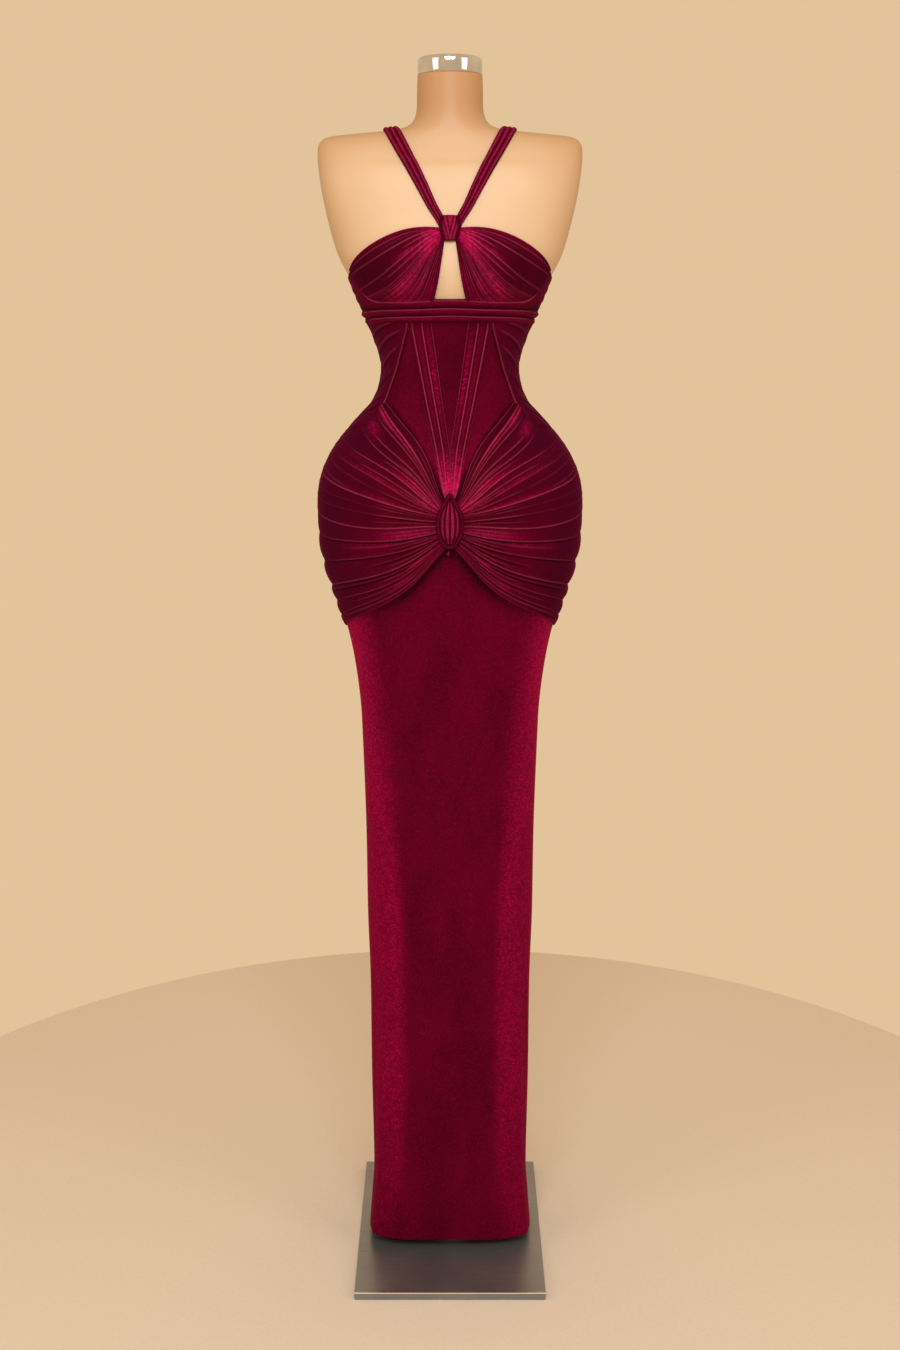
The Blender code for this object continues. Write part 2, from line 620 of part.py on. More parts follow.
def fold_heights(pleats, u, v, from_u, to_u):
    """Height of the folds at v, changing from the middle's to the side's between two places."""
    order = np.arange(len(pleats))
    middle = np.interp(v, order, [row.height for row in pleats])
    side = np.interp(v, order, [row.side_height for row in pleats])
    return middle + (side - middle) * ramp(u, from_u, to_u)


def build_hip_drapes():
    def front(side, sign):
        def place(u, v):
            girth, z = fan_place(HIP_PLEATS, u, v)
            return np.minimum(girth, 1 - SEAM_GIRTH) * sign, z

        def relief(u, v):
            grown = np.clip(u * 2.2, 0, 1) ** 0.7
            fold = fold_heights(HIP_PLEATS, u, v, 0.5, 0.95) * grown
            return (PLEAT_RISE + fold) * pleat_wave(v) * ramp(u, -0.02, 0.12)

        across = [0, 0.11, 0.26, 0.41, 0.55, 0.67, 0.76, 0.83, 0.89, 0.945, 1]
        rows = fan_stops(len(HIP_PLEATS))
        body_wall(f"hip_drape_front_{side}", across, rows, place, DRAPE_LIFT, DRAPE_CLOTH, velvet, relief)

    both_sides(front)


def build_hip_backs():
    round_back = [row for row in HIP_PLEATS if row.back_z is not None]
    order = np.arange(len(round_back))

    def back(side, sign):
        def place(u, v):
            low = np.interp(v, order, [row.z3 for row in round_back])
            high = np.interp(v, order, [row.back_z for row in round_back])
            return back_girth(u) * sign, low + (high - low) * ramp(u, 0, 1)

        def relief(u, v):
            return (PLEAT_RISE + fold_heights(round_back, 1 - 0.5 * u, v, 0.5, 0.95)) * pleat_wave(v)

        columns, rows = np.linspace(0, 1, 10), fan_stops(len(round_back))
        body_wall(f"hip_drape_back_{side}", columns, rows, place, DRAPE_LIFT, DRAPE_CLOTH, velvet, relief)

    both_sides(back)


def build_cups():
    def cup(side, sign):
        def place(u, v):
            girth, z = fan_place(CUP_PLEATS, u, v)
            return girth * sign, z

        def relief(u, v):
            return fold_heights(CUP_PLEATS, u, v, 0.75, 1.0) * pleat_wave(v) * ramp(u, -0.1, 0.3)

        across = [0, 0.13, 0.29, 0.45, 0.61, 0.76, 0.89, 1]
        body_wall(f"cup_{side}", across, fan_stops(len(CUP_PLEATS)), place, CUP_LIFT, CLOTH, velvet, relief)

    both_sides(cup)


def build_knot():
    """The knot lies over the ends of the cups and straps; its small pleats meet in a V."""

    def place(u, v):
        z = KNOT_BOTTOM_Z + (KNOT_TOP_Z - KNOT_BOTTOM_Z) * v
        half = np.interp(v, [0, 0.25, 0.6, 1], KNOT_HALF_WIDTHS)
        return girth_at(half * u, z), z + 0.002 * (1 - u * u) * (v - 0.5)

    def relief(u, v):
        swell = KNOT_SWELL * np.sqrt(np.clip(1 - u * u, 0, 1)) * np.sqrt(np.clip(1 - (2 * v - 1) ** 2, 0, 1))
        pleats = KNOT_PLEAT_HEIGHT * (0.5 + 0.5 * np.cos(2 * np.pi * (3 * v + 1.2 * np.abs(u))))
        return swell + pleats * (1 - np.abs(u)) * 4 * v * (1 - v)

    columns, rows = np.linspace(-1, 1, 7), np.linspace(0, 1, 8)
    body_wall("knot", columns, rows, place, KNOT_LIFT, KNOT_CLOTH, velvet, relief)


def build_straps(form):
    """Each strap lies on the form: its middle line, then its width, are laid on the form's surface."""
    surface = BVHTree.FromObject(form, bpy.context.evaluated_depsgraph_get())
    line = np.array(STRAP_LINE)

    def rest(point):
        place, normal, _, _ = surface.find_nearest(Vector(point))
        return np.array(place), np.array(normal)

    def strap(side, sign):
        route = through(line, STRAP_STOPS)
        feet = [rest((row[0] * sign, row[1], row[2])) for row in route]
        middle = np.array([foot[0] for foot in feet])
        normal = np.array([foot[1] for foot in feet])
        forward = np.gradient(middle, axis=0)
        forward /= np.linalg.norm(forward, axis=1, keepdims=True)
        sideways = np.cross(normal, forward)

        def shape(u, v, is_outer):
            points = []
            for across, along in zip(u, v):
                k = int(along)
                reach = sideways[k] * (across - 0.5) * route[k, 3]
                place, out = rest(middle[k] + reach)
                strand = 0.5 - 0.5 * np.cos(2 * np.pi * across * STRAP_STRANDS)
                lift = STRAP_LIFT + (CLOTH + STRAP_RISE * strand if is_outer else 0.0)
                points.append(place + out * lift)
            return points

        across = np.linspace(0, 1, 2 * STRAP_STRANDS + 1)
        grid_wall(f"strap_{side}", across, range(len(STRAP_STOPS)), shape, velvet)

    both_sides(strap)


def build_ornament():
    """A padded oval: a rolled rim, a core with four upright strands, and a small tie under it."""
    half = np.array(ORNAMENT_OUTLINE)
    closed = np.vstack([half, half[-2:0:-1] * (-1, 1)])
    t = np.linspace(0, len(closed), 27)[:-1]
    looped = through(np.vstack([closed[-1:], closed, closed[:2]]), t + 1)
    points = cloth(girth_at(looped[:, 0], looped[:, 1]), looped[:, 1], np.full(len(t), ORNAMENT_LIFT))
    curve = bpy.data.curves.new("ornament_rim", "CURVE")
    curve.dimensions = "3D"
    curve.bevel_depth = ORNAMENT_RIM
    curve.bevel_resolution = 2
    spline = curve.splines.new("POLY")
    spline.points.add(len(points) - 1)
    for spot, point in zip(spline.points, points):
        spot.co = (*point, 1.0)
    spline.use_cyclic_u = True
    link(bpy.data.objects.new("ornament_rim", curve), velvet)

    outline_z, outline_x = half[::-1, 1], half[::-1, 0]

    def place(u, v):
        z = CORE_BOTTOM_Z + (CORE_TOP_Z - CORE_BOTTOM_Z) * v
        width = np.interp(z, outline_z, outline_x) - 0.0008
        return girth_at(width * u, z), z

    def relief(u, v):
        dome = ramp(1 - np.abs(u), 0.22, 0.55) * ramp(0.5 - np.abs(v - 0.5), 0.08, 0.2)
        strands = 0.5 + 0.5 * np.cos(2 * np.pi * u * 2.5)
        return dome * (CORE_RISE + CORE_STRAND_HEIGHT * strands)

    columns, rows = np.linspace(-1, 1, 11), np.linspace(0, 1, 8)
    body_wall("ornament_core", columns, rows, place, DRAPE_LIFT, CORE_CLOTH, velvet, relief)

    tie = bmesh.new()
    bmesh.ops.create_uvsphere(tie, u_segments=12, v_segments=8, radius=1.0)
    wide, deep, tall = TIE_HALF_SIZE
    seat = cloth(np.zeros(1), np.array([TIE_Z]), np.array([LINE_LIFT + CLOTH + GAP + deep]))[0]
    for vert in tie.verts:
        vert.co = Vector((vert.co.x * wide, vert.co.y * deep, vert.co.z * tall)) + Vector(seat)
    mesh = bpy.data.meshes.new("ornament_tie")
    tie.to_mesh(mesh)
    tie.free()
    link(bpy.data.objects.new("ornament_tie", mesh), velvet)


def build_form(material):
    """A sphere's grid laid on the figure, its poles closing the foot and the neck flat."""
    columns, rows = FORM_FRONT_COLUMNS + FORM_BACK_COLUMNS, len(FORM_RINGS) + 1
    sections = FORM.copy()
    sections[:, 2:5] -= FORM_EASE * (1 - ramp(FORM[:, 1:2], EASE_FROM_Z, EASE_TO_Z))
    ball = bmesh.new()
    bmesh.ops.create_uvsphere(ball, u_segments=columns, v_segments=rows, radius=1.0)
    for vert in ball.verts:
        step = int(round(np.arccos(np.clip(vert.co.z, -1, 1)) / np.pi * rows))
        if step in (0, rows):
            vert.co = (0, 0, NECK_TOP if step == 0 else FORM_BOTTOM)
            continue
        column = round(np.arctan2(vert.co.x, -vert.co.y) / (2 * np.pi) * columns)
        girth = np.interp(abs(column), [0, FORM_FRONT_COLUMNS / 2, columns / 2], [0, 1, 2])
        girth *= -1 if column < 0 else 1
        t = FORM_RINGS[rows - 1 - step]
        vert.co = ring(sections, np.array([girth]), np.array([t]), BUST_OF_FORM)[0]
    bmesh.ops.recalc_face_normals(ball, faces=list(ball.faces))
    mesh = bpy.data.meshes.new("form_torso")
    ball.to_mesh(mesh)
    ball.free()
    mesh.shade_smooth()
    return link(bpy.data.objects.new("form_torso", mesh), material)


def turned(name, profile, material, steps=28):
    """A turned piece: a profile of radius and height, from its top to its foot."""
    mesh = bpy.data.meshes.new(name)
    edges = [(k, k + 1) for k in range(len(profile) - 1)]
    mesh.from_pydata([(radius, 0, z) for radius, z in profile], edges, [])
    piece = link(bpy.data.objects.new(name, mesh), material)
    screw = piece.modifiers.new("turn", "SCREW")
    screw.steps = steps
    screw.render_steps = steps
    screw.use_merge_vertices = True
    screw.merge_threshold = 0.00005
    screw.use_smooth_shade = True
    return piece


def build_cap(material):
    bottom = NECK_TOP + GAP
    corner = [(CAP_RADIUS - CAP_EDGE + CAP_EDGE * np.sin(a), TOTAL_HEIGHT - CAP_EDGE + CAP_EDGE * np.cos(a))
              for a in np.linspace(0, np.pi / 2, 5)]
    turned("neck_cap", [(0, TOTAL_HEIGHT)] + corner + [(CAP_RADIUS, bottom), (0, bottom)], material)


def build_stand(steel):
    bpy.ops.mesh.primitive_cube_add(size=1, location=(0, 0, PLATE_THICKNESS / 2))
    plate = bpy.context.object
    plate.name = "base_plate"
    plate.data.name = "base_plate"
    for vert in plate.data.vertices:
        vert.co = (vert.co.x * PLATE_WIDTH, vert.co.y * PLATE_DEPTH, vert.co.z * PLATE_THICKNESS)
    edge = plate.modifiers.new("edge", "BEVEL")
    edge.width = PLATE_EDGE
    edge.segments = 2
    plate.data.materials.append(steel)
    for owner in plate.users_collection:
        owner.objects.unlink(plate)
    collection.objects.link(plate)
    foot = PLATE_THICKNESS + GAP
    top = FORM_BOTTOM - GAP
    shoulder = foot + FLANGE_HEIGHT
    profile = [(0, top), (POLE_RADIUS, top), (POLE_RADIUS, shoulder), (FLANGE_RADIUS, shoulder),
               (FLANGE_RADIUS, foot), (0, foot)]
    turned("pole", profile, steel, steps=24)


clear_scene()
collection = bpy.data.collections.new("evening_dress_on_form")
bpy.context.scene.collection.children.link(collection)
materials = make_materials()
velvet = materials["wine_velvet"]
build_stand(materials["brushed_steel"])
torso = build_form(materials["form_skin"])
build_cap(materials["chrome"])
build_skirt()
build_centre_panel()
build_front_pleats()
build_side_fronts()
build_side_drapes()
build_bodice_backs()
build_band()
build_hip_drapes()
build_hip_backs()
build_cups()
build_knot()
build_straps(torso)
build_ornament()
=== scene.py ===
import bpy
import numpy as np
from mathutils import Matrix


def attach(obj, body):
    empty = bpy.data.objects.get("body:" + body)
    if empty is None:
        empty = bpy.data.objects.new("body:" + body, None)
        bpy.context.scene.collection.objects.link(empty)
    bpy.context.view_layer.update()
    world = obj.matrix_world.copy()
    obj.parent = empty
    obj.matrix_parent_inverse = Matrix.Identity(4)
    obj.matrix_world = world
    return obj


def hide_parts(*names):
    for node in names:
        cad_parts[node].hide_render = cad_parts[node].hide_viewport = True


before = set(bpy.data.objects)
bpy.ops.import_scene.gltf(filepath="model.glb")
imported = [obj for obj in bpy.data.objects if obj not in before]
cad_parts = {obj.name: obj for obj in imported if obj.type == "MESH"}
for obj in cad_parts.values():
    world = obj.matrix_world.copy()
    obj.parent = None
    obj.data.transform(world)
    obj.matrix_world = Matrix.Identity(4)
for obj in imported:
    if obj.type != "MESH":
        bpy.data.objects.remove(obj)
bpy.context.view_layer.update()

# A wine red velvet evening dress on its dress form. Metres, front towards -Y.
print("frame loaded, nodes:", len(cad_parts))

# The figure under the cloth: rings with their height, half width, depth in front, depth behind and
# squareness (2 is an ellipse). The shoulders' rings dip: height at the side, then in the middle.
figure = {
    "skirt": [
        (0.026, 0.1264, 0.0720, 0.0850, 4.20),
        (0.085, 0.1220, 0.0730, 0.0850, 4.00),
        (0.140, 0.1186, 0.0740, 0.0850, 3.80),
        (0.300, 0.1206, 0.0765, 0.0860, 3.40),
        (0.450, 0.1214, 0.0785, 0.0870, 3.20),
        (0.560, 0.1246, 0.0800, 0.0880, 3.00),
        (0.700, 0.1256, 0.0820, 0.0900, 2.80),
        (0.840, 0.1292, 0.0845, 0.0940, 2.65),
        (0.890, 0.1315, 0.0865, 0.0970, 2.60),
        (0.940, 0.1372, 0.0910, 0.1040, 2.50),
    ],
    "torso": [
        (0.990, 0.1462, 0.0960, 0.1130, 2.40),
        (1.050, 0.1624, 0.1005, 0.1250, 2.30),
        (1.110, 0.1790, 0.1040, 0.1330, 2.25),
        (1.175, 0.1876, 0.1060, 0.1330, 2.20),
        (1.220, 0.1838, 0.1050, 0.1230, 2.20),
        (1.260, 0.1666, 0.1000, 0.1090, 2.20),
        (1.300, 0.1358, 0.0910, 0.0930, 2.20),
        (1.335, 0.1055, 0.0820, 0.0810, 2.20),
        (1.380, 0.0940, 0.0780, 0.0745, 2.20),
        (1.425, 0.1058, 0.0835, 0.0785, 2.20),
        (1.465, 0.1245, 0.0905, 0.0865, 2.25),
        (1.500, 0.1393, 0.0950, 0.0930, 2.30),
        (1.535, 0.1573, 0.0930, 0.0970, 2.40),
        (1.575, 0.1692, 0.0860, 0.0980, 2.60),
        (1.615, 0.1780, 0.0750, 0.0940, 2.80),
        (1.650, 0.1830, 0.0650, 0.0850, 3.00),
    ],
    "formFoot": [
        (0.860, 0.1140, 0.0720, 0.0820, 2.60),
        (0.868, 0.1258, 0.0815, 0.0915, 2.60),
        (0.890, 0.1295, 0.0850, 0.0955, 2.60),
        (0.940, 0.1362, 0.0902, 0.1032, 2.50),
    ],
    "shoulders": [
        (1.6720, 1.6620, 0.1842, 0.0590, 0.0780, 3.00),
        (1.6860, 1.6720, 0.1815, 0.0550, 0.0720, 3.00),
        (1.6945, 1.6810, 0.1700, 0.0520, 0.0660, 2.80),
        (1.6985, 1.6890, 0.1400, 0.0500, 0.0610, 2.60),
        (1.7015, 1.6970, 0.1050, 0.0485, 0.0570, 2.40),
        (1.7050, 1.7050, 0.0720, 0.0475, 0.0530, 2.20),
        (1.7135, 1.7135, 0.0535, 0.0465, 0.0490, 2.10),
        (1.7290, 1.7290, 0.0466, 0.0455, 0.0470, 2.00),
        (1.7550, 1.7550, 0.0456, 0.0450, 0.0455, 2.00),
        (1.7767, 1.7767, 0.0448, 0.0448, 0.0448, 2.00),
    ],
    "bustX": 0.068, "bustZ": 1.512, "bustWide": 0.042, "bustTall": 0.040,
    "bustUnderCloth": 0.030, "bustOfForm": 0.0265,
    "formSlimmer": 0.0026, "slimmerBelow": 1.440, "fullAbove": 1.500,
}


def smooth(value, low, high):  # 0 below low, 1 above high, an S between
    t = np.clip((value - low) / (high - low), 0, 1)
    return t * t * (3 - 2 * t)


def falling(value, low, high):  # 1 below low, 0 above high
    return 1 - smooth(value, low, high)


def bell(value, middle, width):  # 1 at the middle, falling off on both sides
    return np.exp(-(((value - middle) / width) ** 2))


def throughRows(rows, t):  # Catmull-Rom curve through the rows of a table, t counted in rows
    rows = np.asarray(rows, float)
    last = len(rows) - 1
    t = np.clip(np.asarray(t, float), 0, last)
    i = np.minimum(t.astype(int), last - 1)
    f = (t - i)[..., None] if rows.ndim > 1 else t - i
    a, b, c, d = rows[np.maximum(i - 1, 0)], rows[i], rows[i + 1], rows[np.minimum(i + 2, last)]
    return b + 0.5 * ((c - a) * f + (2 * a - 5 * b + 4 * c - d) * f**2 + (3 * b - a - 3 * c + d) * f**3)


def ringPoint(rows, girth, t, bust):
    # A superellipse ring: its half width and depths come from the table at t, the angle is a quarter
    # turn for each unit of girth (0 front, 1 side, 2 back), and two soft bells push the bust forwards.
    sideZ, midZ, halfWidth, front, back, square = np.moveaxis(throughRows(rows, t), -1, 0)
    angle = np.abs(girth) * np.pi / 2
    across, along = np.sin(angle), np.cos(angle)
    reach = (np.abs(along) ** square + np.abs(across) ** square) ** (-1 / square)
    across, along = across * reach, along * reach
    x = across * halfWidth
    y = np.where(along > 0, -front * along, -back * along)
    z = sideZ + (midZ - sideZ) * along**2
    wide = bell(x, figure["bustX"], figure["bustWide"]) + bell(x, -figure["bustX"], figure["bustWide"])
    y = y - bust * bell(z, figure["bustZ"], figure["bustTall"]) * wide * np.clip(along, 0, 1)
    return np.stack([x * np.where(girth < 0, -1.0, 1.0), y, z], -1)


def level(rings):  # the one height stands for the side and the middle
    return [ring[:1] + ring for ring in rings]


dressRows = np.array(level(figure["skirt"] + figure["torso"]))
formRows = np.array(level(figure["formFoot"] + figure["torso"]) + figure["shoulders"])
slim = falling(formRows[:, 1:2], figure["slimmerBelow"], figure["fullAbove"])
formRows[:, 2:5] -= figure["formSlimmer"] * slim
dressT = np.linspace(0, len(dressRows) - 1, 4000)
dressZ = throughRows(dressRows[:, 0], dressT)


def dressPoint(girth, z):
    return ringPoint(dressRows, girth, np.interp(z, dressZ, dressT), figure["bustUnderCloth"])


def unit(vectors):
    return vectors / np.linalg.norm(vectors, axis=-1, keepdims=True)


def onDress(girth, z, out):  # the figure's point, moved out along the figure's normal
    step = 0.0002
    across = dressPoint(girth + 2 * step, z) - dressPoint(girth - 2 * step, z)
    up = dressPoint(girth, z + step) - dressPoint(girth, z - step)
    return dressPoint(girth, z) + unit(np.cross(across, up)) * np.asarray(out)[..., None]


def girthAt(x, z):  # the girth of the front point at x and z, 1 where x is past the side
    row = throughRows(dressRows, np.interp(z, dressZ, dressT))
    across = np.clip(np.abs(x) / row[..., 2], 0, 1)
    along = (1 - across ** row[..., 5]) ** (1 / row[..., 5])
    return np.arctan2(across, along) / (np.pi / 2) * np.where(x < 0, -1.0, 1.0)


def seamGirth(line, z):  # the girth of a seam line of (x, z) points at a height
    line = np.array(line)[::-1]
    return girthAt(np.interp(z, line[:, 1], line[:, 0]), z)


# Materials

class Socket:  # a node's output: + - and * between sockets and numbers add Math nodes

    def __init__(self, shader, output):
        self.shader, self.output = shader, output

    def math(self, operation, first, second):
        return self.shader.node("ShaderNodeMath", {"operation": operation}, {0: first, 1: second})

    def __add__(self, other):
        return self.math("ADD", self, other)

    def __sub__(self, other):
        return self.math("SUBTRACT", self, other)

    def __rsub__(self, other):
        return self.math("SUBTRACT", other, self)

    def __mul__(self, other):
        return self.math("MULTIPLY", self, other)

    __radd__ = __add__
    __rmul__ = __mul__

    def between(self, low, high):  # 0 below low and 1 above high
        return self.shader.node("ShaderNodeMapRange", {"interpolation_type": "SMOOTHSTEP"},
                                {"Value": self, "From Min": low, "From Max": high})


class Shader:  # a material's node tree, with one method that adds any node

    def __init__(self, name):
        self.material = bpy.data.materials.new(name)
        self.material.use_nodes = True
        self.tree = self.material.node_tree
        self.surface = self.tree.nodes["Principled BSDF"]

    def fill(self, node, sockets):
        for key, value in sockets.items():
            if isinstance(value, Socket):
                self.tree.links.new(value.output, node.inputs[key])
            else:
                node.inputs[key].default_value = value

    def node(self, kind, settings=None, sockets=None, output=0):
        made = self.tree.nodes.new(kind)
        for key, value in (settings or {}).items():
            setattr(made, key, value)
        self.fill(made, sockets or {})
        return Socket(self, made.outputs[output])

    def objectPlace(self, scale=(1, 1, 1)):  # Object coordinates, stretched
        place = self.node("ShaderNodeTexCoord", output="Object")
        return self.node("ShaderNodeMapping", {"vector_type": "POINT"}, {"Vector": place, "Scale": scale})

    def axis(self, place, letter):
        return self.node("ShaderNodeSeparateXYZ", None, {"Vector": place}, output=letter)

    def noise(self, place, scale, detail=2.0, roughness=0.5):
        return self.node("ShaderNodeTexNoise", None,
                         {"Vector": place, "Scale": scale, "Detail": detail, "Roughness": roughness})

    def mix(self, share, low, high):  # a mix of two colours
        made = self.tree.nodes.new("ShaderNodeMix")
        made.data_type = "RGBA"
        spots = [s for s in made.inputs if s.type == "RGBA"]
        values = [(*v, 1.0) if isinstance(v, tuple) else v for v in (low, high)]
        for spot, value in zip([made.inputs[0]] + spots, [share] + values):
            if isinstance(value, Socket):
                self.tree.links.new(value.output, spot)
            else:
                spot.default_value = value
        return Socket(self, next(s for s in made.outputs if s.type == "RGBA"))

    def bump(self, height, strength, distance):
        return self.node("ShaderNodeBump", None,
                         {"Height": height, "Strength": strength, "Distance": distance})

    def finish(self, **sockets):
        self.fill(self.surface, {key.replace("_", " "): value for key, value in sockets.items()})
        return self.material


# the velvet's own two tones, then the colours of its painted sheen, darker plum, painted highlight on fold
# edges and painted shade, and its real sheen lobe
velvetLook = {
    "deep": (0.052, 0.0, 0.0062), "wine": (0.124, 0.0003, 0.0165), "glow": (0.68, 0.006, 0.120),
    "plum": (0.047, 0.0003, 0.0140), "ridge": (0.35, 0.038, 0.086), "paintedShade": (0.006, 0.0, 0.0010),
    "sheenColour": (0.90, 0.012, 0.19), "sheen": 0.13, "sheenRoughness": 0.40,
    "napScale": 12.0, "pileScale": 360.0, "bumpDepth": 0.0004,
}


def makeVelvet(look):
    # The point attribute holds four shares for each point: a painted highlight on fold edges, painted
    # sheen, darker plum (partly duller pile, partly painted shade) and, as its alpha, painted shade.
    shader = Shader("wineVelvet")
    place = shader.objectPlace()
    pile = shader.node("ShaderNodeAttribute", {"attribute_name": "pile"}, output="Color")
    paintedShade = shader.node("ShaderNodeAttribute", {"attribute_name": "pile"}, output="Alpha")
    split = shader.tree.nodes.new("ShaderNodeSeparateColor")
    shader.tree.links.new(pile.output, split.inputs[0])
    ridge, paintedSheen, plumPileAndShade = [Socket(shader, output) for output in split.outputs]
    nap = shader.noise(shader.objectPlace((1, 1, 0.45)), look["napScale"], 4.0, 0.6).between(0.36, 0.66)
    speckle = shader.noise(place, look["pileScale"], 2.0, 0.7).between(0.46, 0.74)
    grain = shader.noise(place, look["pileScale"] * 0.36, 3.0, 0.7).between(0.32, 0.72)
    colour = shader.mix(nap * 0.40 + speckle * 0.34, look["deep"], look["wine"])
    colour = shader.mix(paintedSheen * (0.26 + 0.72 * speckle + 0.30 * grain), colour, look["glow"])
    colour = shader.mix(plumPileAndShade * (1 - 0.25 * speckle), colour, look["plum"])
    colour = shader.mix(ridge * (0.70 + 0.3 * grain), colour, look["ridge"])
    colour = shader.mix(paintedShade, colour, look["paintedShade"])
    return shader.finish(
        Base_Color=colour, Roughness=0.72 + 0.16 * grain,
        Normal=shader.bump(speckle * 0.6 + grain, 0.35, look["bumpDepth"]),
        Specular_IOR_Level=0.02, Sheen_Weight=look["sheen"], Sheen_Roughness=look["sheenRoughness"],
        Sheen_Tint=(*look["sheenColour"], 1.0))


# pairs of colours mixed by noise, and single colours laid over them: painted shade on the form's sides,
# a darker tan towards the neck, partly the form's tone and partly painted shade, and a painted
# highlight line on the steel plate's edge
finishes = {
    "skin": ((0.60, 0.405, 0.250), (0.65, 0.450, 0.285)), "paintedSkinSideShade": (0.47, 0.265, 0.125),
    "skinNeckToneAndShade": (0.43, 0.220, 0.095), "cap": ((0.62, 0.62, 0.64), (0.80, 0.80, 0.82)),
    "steel": ((0.23, 0.235, 0.26), (0.36, 0.365, 0.39)), "steelPaintedEdgeLine": (0.95, 0.95, 0.95),
}


def makeFormSkin():
    shader = Shader("formSkin")
    place = shader.objectPlace()
    cloud = shader.noise(place, 7.0, 3.0).between(0.3, 0.7)
    fine = shader.noise(place, 420.0, 2.0, 0.6)
    height, across = shader.axis(place, "Z"), shader.axis(place, "X")
    colour = shader.mix(cloud, *finishes["skin"])
    # painted shade towards the form's sides
    colour = shader.mix((across * across).between(0.006, 0.036) * 0.55, colour, finishes["paintedSkinSideShade"])
    # darker tan towards the neck: partly the form's own tone, partly painted shade
    colour = shader.mix(height.between(1.62, 1.745) * 0.90, colour, finishes["skinNeckToneAndShade"])
    return shader.finish(Base_Color=colour, Roughness=0.40 + 0.10 * fine, Specular_IOR_Level=0.35,
                         Normal=shader.bump(fine, 0.12, 0.0003))


def makeChrome():
    shader = Shader("polishedCap")
    smudge = shader.noise(shader.objectPlace(), 38.0, 3.0).between(0.35, 0.75)
    colour = shader.mix(smudge, *finishes["cap"])
    return shader.finish(Base_Color=colour, Metallic=1.0, Roughness=0.07 + 0.07 * smudge)


def makeBrushedSteel():
    shader = Shader("brushedSteel")
    place = shader.objectPlace()
    streak = shader.noise(shader.objectPlace((6.0, 520, 520)), 3.0, 3.0, 0.65)
    cloud = shader.noise(place, 9.0, 2.0).between(0.3, 0.7)
    depth, height = shader.axis(place, "Y"), shader.axis(place, "Z")
    rim = (depth * depth).between(0.1912**2, 0.1920**2) * height.between(0.0104, 0.0110)  # the plate's polished edge, painted with a bright highlight line
    colour = shader.mix(streak.between(0.3, 0.7) * 0.45 + cloud * 0.3, *finishes["steel"])
    # a painted highlight line along the plate's edge
    colour = shader.mix(rim, colour, finishes["steelPaintedEdgeLine"])
    return shader.finish(Base_Color=colour, Metallic=0.80, Normal=shader.bump(streak, 0.08, 0.0002),
                         Roughness=0.22 + 0.16 * streak + 0.05 * cloud - 0.2 * rim)


materials = {"velvet": makeVelvet(velvetLook), "form_skin": makeFormSkin(), "chrome": makeChrome(),
             "brushed_steel": makeBrushedSteel()}
print("materials made")


# Meshes from arrays

def addObject(name, data):
    thing = bpy.data.objects.new(name, data)
    bpy.context.scene.collection.objects.link(thing)
    return thing


def enclosed(points, faces):  # six times the volume of the cones from the origin to the faces
    a, b, c = [points[faces[:, k]] for k in range(3)]
    volume = (a * np.cross(b, c)).sum()
    if faces.shape[1] == 4:
        volume += (a * np.cross(c, points[faces[:, 3]])).sum()
    return volume


def nodeOf(name):  # the node of "skirtBackLeft" is "skirt_back_left"
    return "".join("_" + letter.lower() if letter.isupper() else letter for letter in name)


def makePiece(name, points, faceGroups, marks=None, slotName="velvet", node=None):
    # A smooth closed mesh from arrays of quads and triangles, turned over if it is inside out.
    if sum(enclosed(points, faces) for faces in faceGroups) < 0:
        faceGroups = [faces[:, ::-1] for faces in faceGroups]
    mesh = bpy.data.meshes.new(name)
    mesh.from_pydata(points, [], sum([faces.tolist() for faces in faceGroups], []), shade_flat=False)
    if marks is not None:
        pile = mesh.attributes.new("pile", "FLOAT_COLOR", "POINT")
        pile.data.foreach_set("color", np.clip(marks, 0, 1).ravel())
    mesh.materials.append(materials[slotName])
    piece = addObject(name, mesh)
    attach(piece, "root")
    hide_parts(node or nodeOf(name))
    return piece


def ringPiece(name, rings, marks=None, slotName="velvet", endless=False):
    # Rings of points joined into a closed skin, each end closed by a fan, or the ends joined to each other.
    rows, columns = rings.shape[:2]
    here = np.arange(rows * columns).reshape(rows, columns)
    right = np.roll(here, -1, axis=1)
    points = rings.reshape(-1, 3)
    if endless:
        faces = [np.stack([here, right, np.roll(right, -1, 0), np.roll(here, -1, 0)], -1).reshape(-1, 4)]
    else:
        foot, top = np.full(columns, len(points)), np.full(columns, len(points) + 1)
        faces = [np.stack([here[:-1], right[:-1], right[1:], here[1:]], -1).reshape(-1, 4),
                 np.stack([right[0], here[0], foot], -1), np.stack([here[-1], right[-1], top], -1)]
        points = np.vstack([points, rings[0].mean(0), rings[-1].mean(0)])
    if marks is not None:
        marks = np.vstack([marks.reshape(-1, 4), np.zeros((len(points) - rows * columns, 4))])
    return makePiece(name, points, faces, marks, slotName)


def shellPiece(name, outer, inner, marks, node=None):
    # Two grids of points, outer and inner, closed along their rims. The inner one gets some darker plum,
    # partly duller pile and partly painted shade.
    rows, columns = outer.shape[:2]
    here = np.arange(rows * columns).reshape(rows, columns)
    quads = np.stack([here[:-1, :-1], here[:-1, 1:], here[1:, 1:], here[1:, :-1]], -1).reshape(-1, 4)
    border = np.concatenate([here[0, :-1], here[:-1, -1], here[-1, :0:-1], here[:0:-1, 0]])
    after = np.roll(border, -1)
    count = rows * columns
    rims = np.stack([after, border, border + count, after + count], -1)
    faces = [np.vstack([quads, quads[:, ::-1] + count, rims])]
    points = np.vstack([outer.reshape(-1, 3), inner.reshape(-1, 3)])
    hidden = np.tile([0.0, 0.0, 0.35, 0.0], (count, 1))
    return makePiece(name, points, faces, np.vstack([marks.reshape(-1, 4), hidden]), node=node)


def stepsBetween(points, axis):
    return np.linalg.norm(np.diff(points, axis=axis), axis=-1)


